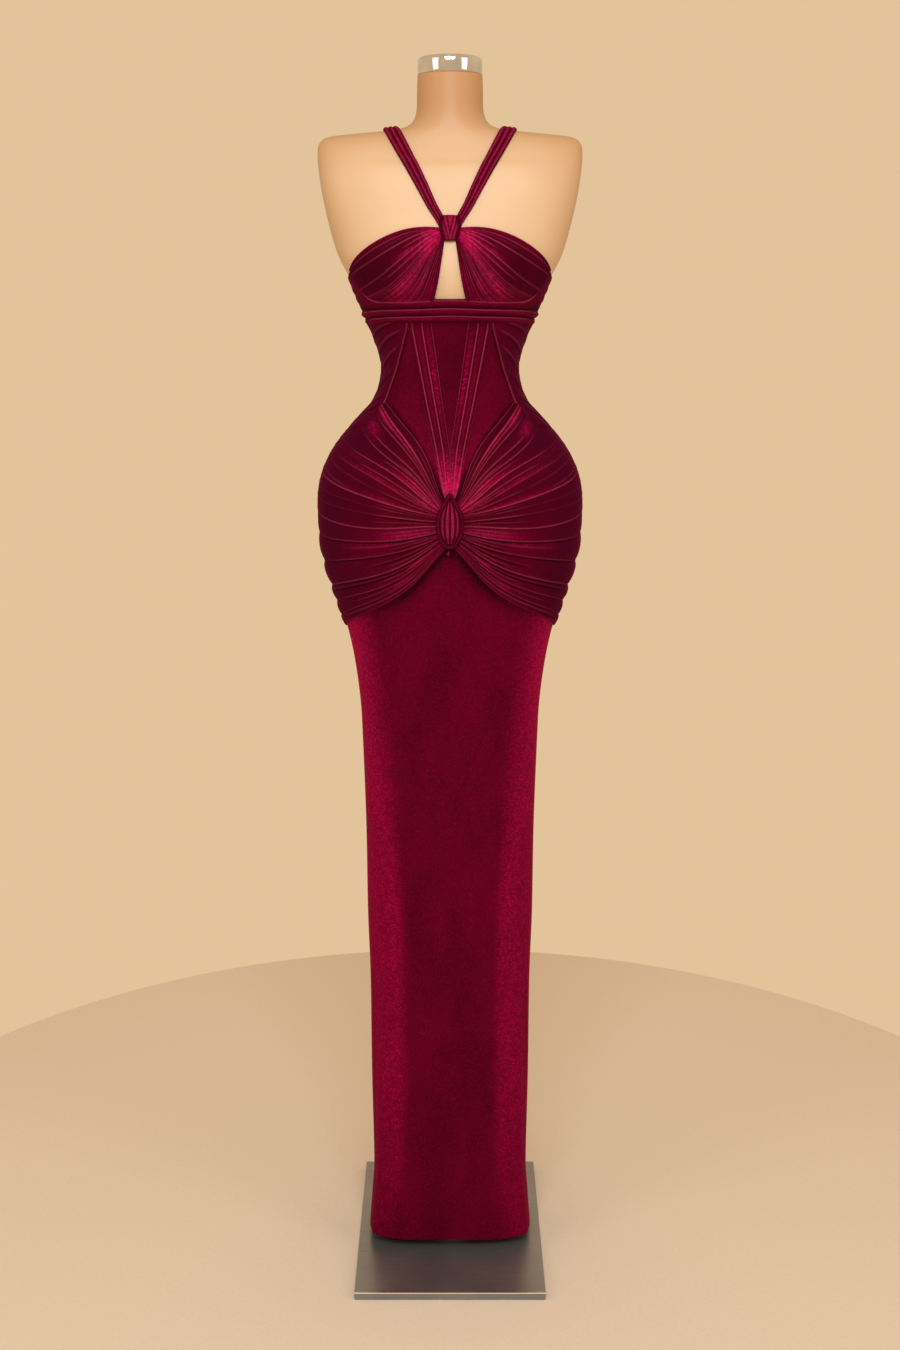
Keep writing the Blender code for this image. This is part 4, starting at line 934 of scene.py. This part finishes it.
def hipFolds(g, table):  # folds growing from the ornament, which turn into gathers at the low side
    lowSide = smooth(g.u, 0.55, 0.90) * smooth(g.v, 9.2, 10.2)
    shape = foldShape(g) * (1 - lowSide) + gathers(g) * lowSide
    grow = np.clip(g.u * 2.2, 0, 1) ** 0.7
    heights = hipHeights(g, table, g.u) * (0.45 + 0.55 * fading(g, table))
    main = withCreases((0.0005 + heights * grow) * shape, g, hipDrape["creases"])
    return np.maximum(main, 0) * smooth(g.u, -0.02, 0.12)


def hipMarks(g, table):
    # Painted sheen near the ornament and over the pleats' upper slopes, darker plum (partly duller pile,
    # partly painted shade) and painted shade towards the side, and the painted highlight lines and painted
    # shade of pleats and creases.
    v, u = g.v, g.u
    fade = fading(g, table) * (1 - 0.35 * smooth(u, 0.7, 1.0))
    pale, dark = [alongTable(np.rint(v), table, column) * fade for column in (hipPale, hipDark)]
    line, paintedShade = allLines(g, pale, dark, hipDrape["creases"], 0.3)
    part = v % 1
    top = 0.30 + 0.70 * np.maximum(smooth(part, 0.45, 0.95), falling(part, 0.0, 0.08))
    near = falling(u, 0.02, 0.28) * (0.08 + 1.40 * bell(v, 3.6, 1.6) + 0.15 * bell(v, 10.5, 1.6))
    low = 0.06 * smooth(v, 8.5, 11.0) * falling(u, 0.35, 0.85)
    shade = 0.45 * bell(v, 0.62, 0.30) + 0.30 * bell(v, 1.95, 0.35) * smooth(u, 0.3, 0.5)
    shade = shade + 0.13 * smooth(u, 0.25, 0.45) * smooth(v, 2.2, 3.5)
    paintedSheen = (0.02 + 0.84 * near + low) * top + paintedGlints(g, hipDrape["paintedGlints"])
    plumPileAndShade = smooth(u, 0.42, 0.85) * (1 - 0.8 * bell(v, 1.0, 1.4)) * 0.8
    return line, paintedSheen, plumPileAndShade, np.maximum(paintedShade, shade)


def buildHipDrapes():
    table = np.array(hipDrape["pleats"])

    def place(u, v):
        girth, z = fanPlace(table, u, v)
        return np.minimum(girth, 1 - seam), z

    for piece in leftAndRight("hipDrapeFront", hipDrape, stops(hipDrape["columns"], 0.17),
                              pleatStops(len(table), hipDrape["parts"], (0.03, 0.01)), place,
                              lambda g: hipMarks(g, table), lambda g: hipFolds(g, table)):
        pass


def buildHipBacks():
    table = np.array([row for row in hipDrape["pleats"] if row[hipBackZ]])

    def place(u, v):
        side, back = alongTable(v, table, hipSideZ), alongTable(v, table, hipBackZ)
        return backGirth(u), side + (back - side) * smooth(u, 0, 1)

    def relief(g):
        folds = (0.0005 + hipHeights(g, table, 1 - 0.5 * g.u)) * foldShape(g)
        return np.maximum(withCreases(folds, g, hipDrape["backCreases"]), 0)

    def marks(g):
        # painted highlight lines and painted shade of the pleats, painted sheen towards the centre back, darker
        # plum near the side, partly duller pile and partly painted shade
        pale = alongTable(np.rint(g.v), table, hipPale) * (0.25 + 0.35 * g.u)
        line, paintedShade = allLines(g, pale, 0.5 + 0.2 * g.u, hipDrape["backCreases"])
        paintedSheen = 0.06 + 0.16 * smooth(g.u, 0.2, 0.8) * (0.6 + 0.4 * np.sin(5 * g.v + 3 * g.u))
        return line, paintedSheen, 0.8 * falling(g.u, 0, 0.6), paintedShade

    for piece in leftAndRight("hipDrapeBack", hipDrape, stops(52, 0.20),
                              pleatStops(len(table), hipDrape["parts"][::2]), place, marks, relief):
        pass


cups = {
    "lift": 0.0018, "cloth": 0.0015, "columns": 84,
    "topRoll": 0.0016, "topRollWidth": 0.0022, "keyholeRoll": 0.0020, "keyholeRollWidth": 0.0032,
    # x and z at four stations, the fold's height, how strong its painted highlight line is and how dark its
    # painted shade
    "pleats": [
        (0.0130, 1.5703, 0.0560, 1.5684, 0.0990, 1.5524, 0.1366, 1.5182, 0.0010, 0.00, 0.00),
        (0.0128, 1.5685, 0.0545, 1.5626, 0.0965, 1.5446, 0.1363, 1.5150, 0.0018, 0.60, 0.25),
        (0.0125, 1.5667, 0.0515, 1.5562, 0.0915, 1.5338, 0.1345, 1.5100, 0.0022, 0.80, 0.40),
        (0.0120, 1.5640, 0.0480, 1.5422, 0.0855, 1.5118, 0.1258, 1.4870, 0.0022, 0.75, 0.45),
        (0.0114, 1.5614, 0.0425, 1.5278, 0.0760, 1.4952, 0.1170, 1.4762, 0.0020, 0.40, 0.50),
        (0.0107, 1.5594, 0.0385, 1.5265, 0.0660, 1.4930, 0.0980, 1.4750, 0.0018, 0.35, 0.30),
        (0.0099, 1.5574, 0.0325, 1.5215, 0.0530, 1.4885, 0.0740, 1.4740, 0.0018, 0.30, 0.30),
        (0.0090, 1.5555, 0.0245, 1.5185, 0.0365, 1.4870, 0.0480, 1.4738, 0.0018, 0.45, 0.60),
        (0.0076, 1.5540, 0.0118, 1.5280, 0.0171, 1.4990, 0.0222, 1.4740, 0.0016, 0.00, 0.00),
    ],
    "creases": [
        (1.40, 1.45, 0.15, 0.70, 0.20, 0.30), (2.45, 2.40, 0.05, 0.50, 0.50, 0.35),
        (3.45, 3.30, 0.03, 0.75, 0.45, 0.30), (3.75, 3.85, 0.20, 1.05, 0.30, 0.30),
        (4.40, 4.30, 0.05, 0.95, 0.35, 0.40), (4.70, 4.90, 0.25, 0.90, 0.30, 0.15),
        (5.30, 5.40, 0.10, 1.00, 0.30, 0.35), (5.60, 5.50, 0.35, 0.85, 0.30, 0.30),
        (6.30, 6.40, 0.08, 0.90, 0.35, 0.35), (6.60, 6.55, 0.20, 1.00, 0.25, 0.45),
        (7.30, 7.25, 0.10, 0.80, 0.30, 0.55),
    ],
    # painted highlights: u, v, width in u, width in v, strength
    "paintedGlints": [
        (0.06, 2.60, 0.15, 1.60, 1.30), (0.12, 4.60, 0.17, 1.30, 1.10), (0.34, 4.75, 0.14, 0.50, 0.80),
        (0.42, 2.82, 0.10, 0.12, 0.55), (0.58, 4.55, 0.16, 0.40, 0.75), (0.68, 5.40, 0.16, 0.45, 0.65),
        (0.55, 6.40, 0.22, 0.35, 0.40), (0.90, 6.30, 0.10, 0.80, 0.50), (0.30, 3.30, 0.12, 0.22, 0.35),
        (0.40, 0.35, 0.45, 0.30, 0.30), (0.55, 7.60, 0.40, 0.25, 0.22),
    ],
    "parts": (0, 0.03, 0.06, 0.10, *np.arange(0.15, 0.93, 0.05), 0.95, 0.98),
}
cupRise, cupPale, cupDark = range(8, 11)  # columns of its pleats


def buildCups():
    table = np.array(cups["pleats"])
    last = len(table) - 1

    def relief(g):  # folds that are highest in the middle of the cup, and rolled upper and inner edges
        grow = smooth(g.u, -0.1, 0.3) * (1 - 0.5 * smooth(g.u, 0.75, 1.0))
        folds = withCreases(alongTable(g.v, table, cupRise) * foldShape(g), g, cups["creases"])
        topRoll = cups["topRoll"] * bell(g.ends[2], cups["topRollWidth"], cups["topRollWidth"])
        keyhole = cups["keyholeRoll"] * bell(g.ends[3], cups["keyholeRollWidth"], cups["keyholeRollWidth"])
        return np.maximum(folds, 0) * grow + topRoll + keyhole

    def marks(g):  # painted highlight lines inside the rolled edges, painted shade beside the rolls and at the outer end
        u, v = g.u, g.v
        inside = smooth(v, 0.3, 0.6) * falling(v, last - 0.6, last - 0.3)
        pale, dark = [alongTable(np.rint(v), table, column) * (1 - 0.3 * u) for column in (cupPale, cupDark)]
        line, paintedShade = allLines(g, pale, dark, cups["creases"])
        # the painted sheen, broken up as if crumpled, and darker plum near the top and the outer end, partly
        # duller pile and partly painted shade
        crumple = 0.80 + 0.30 * np.sin(31 * u + 5 * v) * np.sin(47 * u - 9 * v)
        paintedSheen = 0.02 + paintedGlints(g, cups["paintedGlints"]) * crumple
        plumPileAndShade = 0.30 * bell(v, 1.4, 0.8) * smooth(u, 0.3, 0.6) + 0.30 * smooth(u, 0.75, 1.0)
        roll = bell(g.ends[3], 0.0062, 0.0012) + 0.7 * bell(g.ends[2], 0.0042, 0.0010)
        outer = 0.42 * bell(v, 2.6, 1.5) * smooth(u, 0.40, 0.75)
        paintedShade = np.maximum(paintedShade, outer) * inside
        return line * inside, paintedSheen, plumPileAndShade, np.maximum(paintedShade, 0.55 * np.minimum(roll, 1))

    for piece in leftAndRight("cup", cups, stops(cups["columns"], 0.13),
                              pleatStops(len(table), cups["parts"], (0.04, 0.015)),
                              lambda u, v: fanPlace(table, u, v), marks, relief):
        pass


# Knot between the cups

knot = {"low": 1.5530, "high": 1.5850, "lift": 0.0044, "cloth": 0.0016, "swell": 0.0018, "pleat": 0.00224,
        "halfWidths": (0.0105, 0.0135, 0.0155, 0.0135), "fine": (0.0003, 0.0007)}


def buildKnot():
    def place(u, v):  # the width swells in the middle of the height, and both ends curve
        across = 2 * u - 1
        z = knot["low"] + (knot["high"] - knot["low"]) * v
        half = np.interp(v, [0, 0.25, 0.6, 1], knot["halfWidths"])
        return girthAt(half * across, z), z + 0.002 * (1 - across**2) * (v - 0.5)

    def way(g):  # whole on each pleat: they run from the upper corners down to the middle of the foot
        return (np.abs(2 * g.u - 1) - 0.55 * g.v) * 2.9

    def relief(g):  # an oval dome with pleats on it and a strand along each side
        across = 2 * g.u - 1
        dome = np.sqrt(np.clip(1 - across**2, 0, 1)) * np.sqrt(np.clip(1 - (2 * g.v - 1) ** 2, 0, 1))
        pleats = np.abs(np.cos(np.pi * way(g))) ** 0.6
        strand = 0.0010 * bell(np.abs(across), 0.82, 0.12)
        return knot["swell"] * dome + knot["pleat"] * pleats * (1 - np.abs(across)) + strand

    def marks(g):
        # painted highlight lines on the pleats, painted shade between them, along the sides and at the foot,
        # painted sheen in the middle and darker plum at the sides
        across = np.abs(2 * g.u - 1)
        middle = falling(across, 0.62, 0.75)
        line = bell(way(g), np.rint(way(g)), 0.17) * middle
        gap = bell(way(g) % 1, 0.5, 0.16) * middle
        paintedShade = np.maximum(0.45 * gap, 0.7 * bell(across, 0.72, 0.05))
        paintedShade = np.maximum(paintedShade, 0.5 * falling(g.v, 0.0, 0.08))
        return 0.40 * line, 0.38 * falling(across, 0.3, 0.8), 0.3 * smooth(across, 0.55, 0.9), paintedShade

    piece = clothPiece("bustKnot", knot, stops(40, 0.024, knot["fine"]), stops(48, 0.032, knot["fine"]),
                       place, marks, relief, node="knot")


# Halter straps, laid on the form: each is three soft strands side by side

strap = {
    # middle line of the left strap, x y z, and its width
    "route": [
        (0.0078, -0.0925, 1.5715, 0.0110), (0.0155, -0.090, 1.5865, 0.0125), (0.0255, -0.085, 1.6030, 0.0140),
        (0.0385, -0.075, 1.6280, 0.0165), (0.0520, -0.065, 1.6530, 0.0185), (0.0660, -0.055, 1.6780, 0.0200),
        (0.0790, -0.035, 1.7000, 0.0210), (0.0830, 0.000, 1.7100, 0.0210), (0.0810, 0.040, 1.7000, 0.0205),
        (0.0760, 0.075, 1.6750, 0.0200), (0.0690, 0.095, 1.6300, 0.0190), (0.0610, 0.100, 1.5700, 0.0180),
        (0.0545, 0.098, 1.5200, 0.0175), (0.0500, 0.090, 1.4790, 0.0170),
    ],
    "strands": 3, "lift": 0.0018, "cloth": 0.0015, "rise": 0.0018, "across": 33, "along": 170, "rounds": 12,
}


def formPoint(girth, t):
    return ringPoint(formRows, girth, t, figure["bustOfForm"])


def footOnForm(points, girth, t):
    # Newton steps: the form's two slopes at the guess tell how far the foot of the point lies from it.
    for _ in range(strap["rounds"]):
        here = formPoint(girth, t)
        alongG = (formPoint(girth + 0.001, t) - formPoint(girth - 0.001, t)) / 0.002
        alongT = (formPoint(girth, t + 0.01) - formPoint(girth, t - 0.01)) / 0.02
        gg, gt, tt = [(a * b).sum(-1) for a, b in ((alongG, alongG), (alongG, alongT), (alongT, alongT))]
        rg, rt = ((points - here) * alongG).sum(-1), ((points - here) * alongT).sum(-1)
        flat = gg * tt - gt * gt
        girth = np.clip(girth + 0.8 * (rg * tt - rt * gt) / flat, 0.002, 1.998)
        t = np.clip(t + 0.8 * (rt * gg - rg * gt) / flat, 8, len(formRows) - 1.02)
    return girth, t, unit(np.cross(alongG, alongT))


def buildStraps():
    # The route's foot on the form gives the middle line. Three strands, a sine each, lie across it.
    route = throughRows(strap["route"], np.linspace(0, len(strap["route"]) - 1, strap["along"]))
    grids = np.meshgrid(np.linspace(0.02, 1.98, 90), np.linspace(12, len(formRows) - 2, 140))
    girth, t = [grid.ravel() for grid in grids]
    nearest = np.linalg.norm(route[:, None, :3] - formPoint(girth, t)[None], axis=-1).argmin(1)
    girth, t, normal = footOnForm(route[:, :3], girth[nearest], t[nearest])
    middle = formPoint(girth, t)
    forward = unit(np.gradient(middle, axis=0))
    sideways = unit(np.cross(normal, forward))
    us = np.linspace(0, 1, strap["across"])
    reach = sideways[:, None] * ((us - 0.5)[None] * route[:, 3:4])[..., None]
    shape = (len(route), len(us))
    footG, footT, out = footOnForm(middle[:, None] + reach, np.broadcast_to(girth[:, None], shape),
                                   np.broadcast_to(t[:, None], shape))
    feet = formPoint(footG, footT)
    u = np.broadcast_to(us, shape)
    along = np.broadcast_to(np.linspace(0, 1, len(route))[:, None], shape)
    place = u * strap["strands"] + 0.10 * np.sin(9 * along + 2)
    part = place % 1
    strand = np.sin(np.pi * part) ** 0.6
    edge = np.sqrt(np.clip(1 - (2 * u - 1) ** 4, 0, 1))
    lift = strap["lift"] + (strap["cloth"] + strap["rise"] * strand) * (0.25 + 0.75 * edge)
    # painted highlight on each strand's crest, painted sheen beside it and painted shade in the gaps
    crest = bell(part, 0.35, 0.12)
    gap = np.maximum(bell(part, 0, 0.10), bell(part, 1, 0.10))
    marks = np.stack([0.40 * crest, 0.08 + 0.26 * bell(part, 0.55, 0.2), 0 * u, 0.7 * gap], -1)
    for side, sign in sides:
        mirror = np.array([sign, 1.0, 1.0])
        piece = shellPiece("strap" + side, (feet + out * lift[..., None]) * mirror,
                           (feet + out * strap["lift"]) * mirror, marks)


# Padded oval ornament: a rolled rim, a core of upright strands and a small tie

ornament = {
    "lift": 0.0086, "rimRadius": 0.0031, "rimSteps": 128, "tubeSteps": 18,
    # half width and height, from the point down
    "outline": [(0.0000, 1.2095), (0.0045, 1.2030), (0.0095, 1.1935), (0.0140, 1.1845), (0.0161, 1.1760),
                (0.0163, 1.1680), (0.0155, 1.1590), (0.0125, 1.1490), (0.0070, 1.1410), (0.0000, 1.1375)],
    "core": {"low": 1.1405, "high": 1.2045, "lift": 0.0036, "cloth": 0.0013, "rise": 0.0028,
             "strandRise": 0.0014},
    "tieZ": 1.1275, "tieLift": 0.0057, "tieSize": (0.0056, 0.0030, 0.0036),
}


def buildRim(half):  # a tube round the outline, its radius waving six times round so that it looks rolled
    closed = np.vstack([half, half[-2:0:-1] * (-1, 1)])
    t = np.linspace(0, len(closed), ornament["rimSteps"] + 1)[:-1]
    path = throughRows(np.vstack([closed[-1:], closed, closed[:2]]), t + 1)
    girth = girthAt(path[:, 0], path[:, 1])
    lifts = (ornament["lift"], ornament["lift"] + 0.001)
    middle, higher = [onDress(girth, path[:, 1], np.full(len(t), lift)) for lift in lifts]
    forward = unit(np.roll(middle, -1, 0) - np.roll(middle, 1, 0))
    up = unit(higher - middle)
    sideways = unit(np.cross(up, forward))
    angle = np.linspace(0, 2 * np.pi, ornament["tubeSteps"], endpoint=False)
    twist = 1 + 0.035 * np.cos(6 * angle[None] + 0.35 * np.arange(len(t))[:, None])
    rings = middle[:, None] + ornament["rimRadius"] * twist[..., None] * (
        sideways[:, None] * np.cos(angle)[None, :, None] + up[:, None] * np.sin(angle)[None, :, None])
    # painted highlight along the tube's upper side, painted sheen near it and painted shade round the rest
    marks = np.zeros((*rings.shape[:2], 4))
    marks[..., 0] = 0.10 * bell(angle, 1.2, 0.35)
    marks[..., 1] = 0.08 * bell(angle, 1.6, 0.8)
    marks[..., 3] = 0.25 + 0.45 * (1 - bell(angle, 1.6, 1.2))
    rim = ringPiece("ornamentRim", rings, marks, endless=True)


def buildCore(half):
    core = ornament["core"]

    def place(u, v):
        z = core["low"] + (core["high"] - core["low"]) * v
        width = np.interp(z, half[::-1, 1], half[::-1, 0]) + 0.0006
        return girthAt(width * (2 * u - 1), z), z

    def strands(g):  # whole on the middle of each strand
        return (2 * g.u - 1) * 2.2 + 0.5

    def relief(g):  # a flat-topped dome with upright ribs
        across = np.abs(2 * g.u - 1)
        dome = smooth(1 - across, 0.06, 0.40) * smooth(0.5 - np.abs(g.v - 0.5), 0.04, 0.2)
        ribs = np.abs(np.cos(np.pi * strands(g))) ** 0.5
        return dome * (core["rise"] + core["strandRise"] * ribs)

    def marks(g):
        # painted highlight lines beside each strand's crest, painted sheen on it, and painted shade between
        # strands and at the sides
        part = strands(g) - np.rint(strands(g))
        across = np.abs(2 * g.u - 1)
        paintedShade = np.maximum(0.55 * (1 - bell(part, 0, 0.42)), 0.6 * smooth(across, 0.80, 0.95))
        return 0.45 * bell(np.abs(part), 0.16, 0.09), 0.05 + 0.45 * bell(part, 0, 0.2), 0.0, paintedShade

    piece = clothPiece("ornamentCore", core, stops(64, 0.03, knot["fine"]), stops(60, 0.056), place, marks,
                       relief)


def buildTie():  # a squeezed ball with six gathers
    seat = onDress(np.zeros(1), np.array([ornament["tieZ"]]), np.array([ornament["tieLift"]]))[0]
    down = np.linspace(0.12, np.pi - 0.12, 20)[:, None]
    about = np.linspace(0, 2 * np.pi, 28, endpoint=False)[None]
    pinch = 1 - 0.10 * np.cos(6 * about) * np.sin(down)
    ball = np.stack([np.sin(down) * np.cos(about) * pinch, np.sin(down) * np.sin(about) * pinch,
                     np.cos(down) + 0 * about], -1)
    # painted highlight on three of the gathers and painted shade round them
    marks = np.zeros((*ball.shape[:2], 4))
    marks[..., 0] = 0.45 * bell(np.cos(3 * about), 1, 0.3)
    marks[..., 3] = 0.75 * (1 - bell(np.cos(3 * about), 1, 0.5))
    tie = ringPiece("ornamentTie", seat + ball * np.array(ornament["tieSize"]), marks)


def buildOrnament():
    half = np.array(ornament["outline"])
    buildRim(half)
    buildCore(half)
    buildTie()


# The dress form and its cap

form = {"columns": 128, "rows": 165, "capRadius": 0.0447, "capEdge": 0.006, "capFoot": 1.7770,
        "capChamfer": 0.0006, "capRings": (0.030, 0.012), "capSteps": 96, "top": 1.800}


def buildForm():  # the figure's rings from foot to neck
    girth = np.linspace(-2, 2, form["columns"], endpoint=False)[None]
    t = np.linspace(0, len(formRows) - 1, form["rows"])[:, None]
    rings = formPoint(*np.broadcast_arrays(girth, t))
    ringPiece("formTorso", rings, slotName="form_skin")


def buildCap():  # a flat disc with a rounded upper edge
    wide, edge, foot, top = form["capRadius"], form["capEdge"], form["capFoot"], form["top"]
    chamfer = form["capChamfer"]
    corner = np.linspace(np.pi / 2, 0, 9)
    radius = np.array([wide - chamfer, wide - 0.0001, *(wide - edge + edge * np.sin(corner)),
                       *form["capRings"]])
    height = np.array([foot, foot + chamfer, *(top - edge + edge * np.cos(corner)), top, top])
    about = np.linspace(0, 2 * np.pi, form["capSteps"], endpoint=False)
    rings = np.stack([radius[:, None] * np.cos(about), radius[:, None] * np.sin(about),
                      height[:, None] + 0 * about], -1)
    ringPiece("neckCap", rings, slotName="chrome")


steps = {
    "form and cap": (buildForm, buildCap),
    "skirt": (buildSkirt,),
    "corset": (buildCentrePanel, buildFrontPleats, buildSideFronts, buildSideDrapes, buildBodiceBacks),
    "band and hip drapes": (buildBand, buildHipDrapes, buildHipBacks),
    "cups, knot, straps and ornament": (buildCups, buildKnot, buildStraps, buildOrnament),
}
for words, builders in steps.items():
    for build in builders:
        build()
    print(words, "built")

for name in ("base_plate", "pole"):
    for spot in bpy.data.objects[name].material_slots:
        spot.material = materials["brushed_steel"]


# Stage: a round pale floor, soft light and the photograph's view

stage = {
    "floorRadius": 1.16, "floorColour": (0.74, 0.65, 0.56),
    "wallColour": (0.816, 0.580, 0.345), "wallLight": 0.94,
    "cameraPlace": (0.0, -2.404, 1.4945), "cameraTilt": 13.295, "lens": 43.97,
    # place, aim, width, height, watts and colour
    "lights": [
        ((0.0, -2.3, 2.6), (0, 0, 1.20), 1.4, 1.0, 46, (0.90, 0.97, 1.0)),
        ((-2.1, -1.6, 1.6), (0, 0, 0.95), 1.0, 2.2, 9, (1.0, 0.97, 0.95)),
        ((2.1, -1.6, 1.6), (0, 0, 0.95), 1.0, 2.2, 9, (1.0, 0.97, 0.95)),
    ],
}


def makeFloorLook():
    shader = Shader("paleFloor")
    fine = shader.noise(shader.objectPlace(), 160.0, 3.0, 0.7)
    colour = shader.mix(fine, stage["floorColour"], tuple(0.9 * part for part in stage["floorColour"]))
    return shader.finish(Base_Color=colour, Roughness=0.95, Specular_IOR_Level=0.1,
                         Normal=shader.bump(fine, 0.25, 0.002))


def buildStage():
    about = np.linspace(0, 2 * np.pi, 160, endpoint=False)
    edge = np.stack([np.cos(about), np.sin(about), 0 * about], -1) * stage["floorRadius"]
    mesh = bpy.data.meshes.new("floor")
    mesh.from_pydata(edge, [], [list(range(len(about)))])
    mesh.materials.append(makeFloorLook())
    floor = addObject("floor", mesh)
    world = bpy.data.worlds.new("softRoom")
    world.use_nodes = True
    back = world.node_tree.nodes["Background"]
    back.inputs["Color"].default_value = (*stage["wallColour"], 1.0)
    back.inputs["Strength"].default_value = stage["wallLight"]
    bpy.context.scene.world = world


def aimed(thing, place, target):  # looks along its own -Z at the target
    place, target = np.array(place, float), np.array(target, float)
    look = unit(target - place)
    thing.location = place
    thing.rotation_euler = (np.arccos(-look[2]), 0.0, np.arctan2(look[1], look[0]) - np.pi / 2)


def buildLights():
    for k, (place, target, width, height, watts, colour) in enumerate(stage["lights"]):
        lamp = bpy.data.lights.new(f"softLight{k}", "AREA")
        lamp.shape, lamp.size, lamp.size_y = "RECTANGLE", width, height
        lamp.energy, lamp.color = watts, colour
        aimed(addObject(lamp.name, lamp), place, target)


def buildCamera():
    lens = bpy.data.cameras.new("camera")
    lens.lens, lens.sensor_width = stage["lens"], 36.0
    camera = addObject("camera", lens)
    camera.location = stage["cameraPlace"]
    camera.rotation_euler = (np.radians(90 - stage["cameraTilt"]), 0.0, 0.0)
    bpy.context.scene.camera = camera


buildStage()
buildLights()
buildCamera()
bpy.context.scene.view_settings.view_transform = "Standard"
print("stage built")
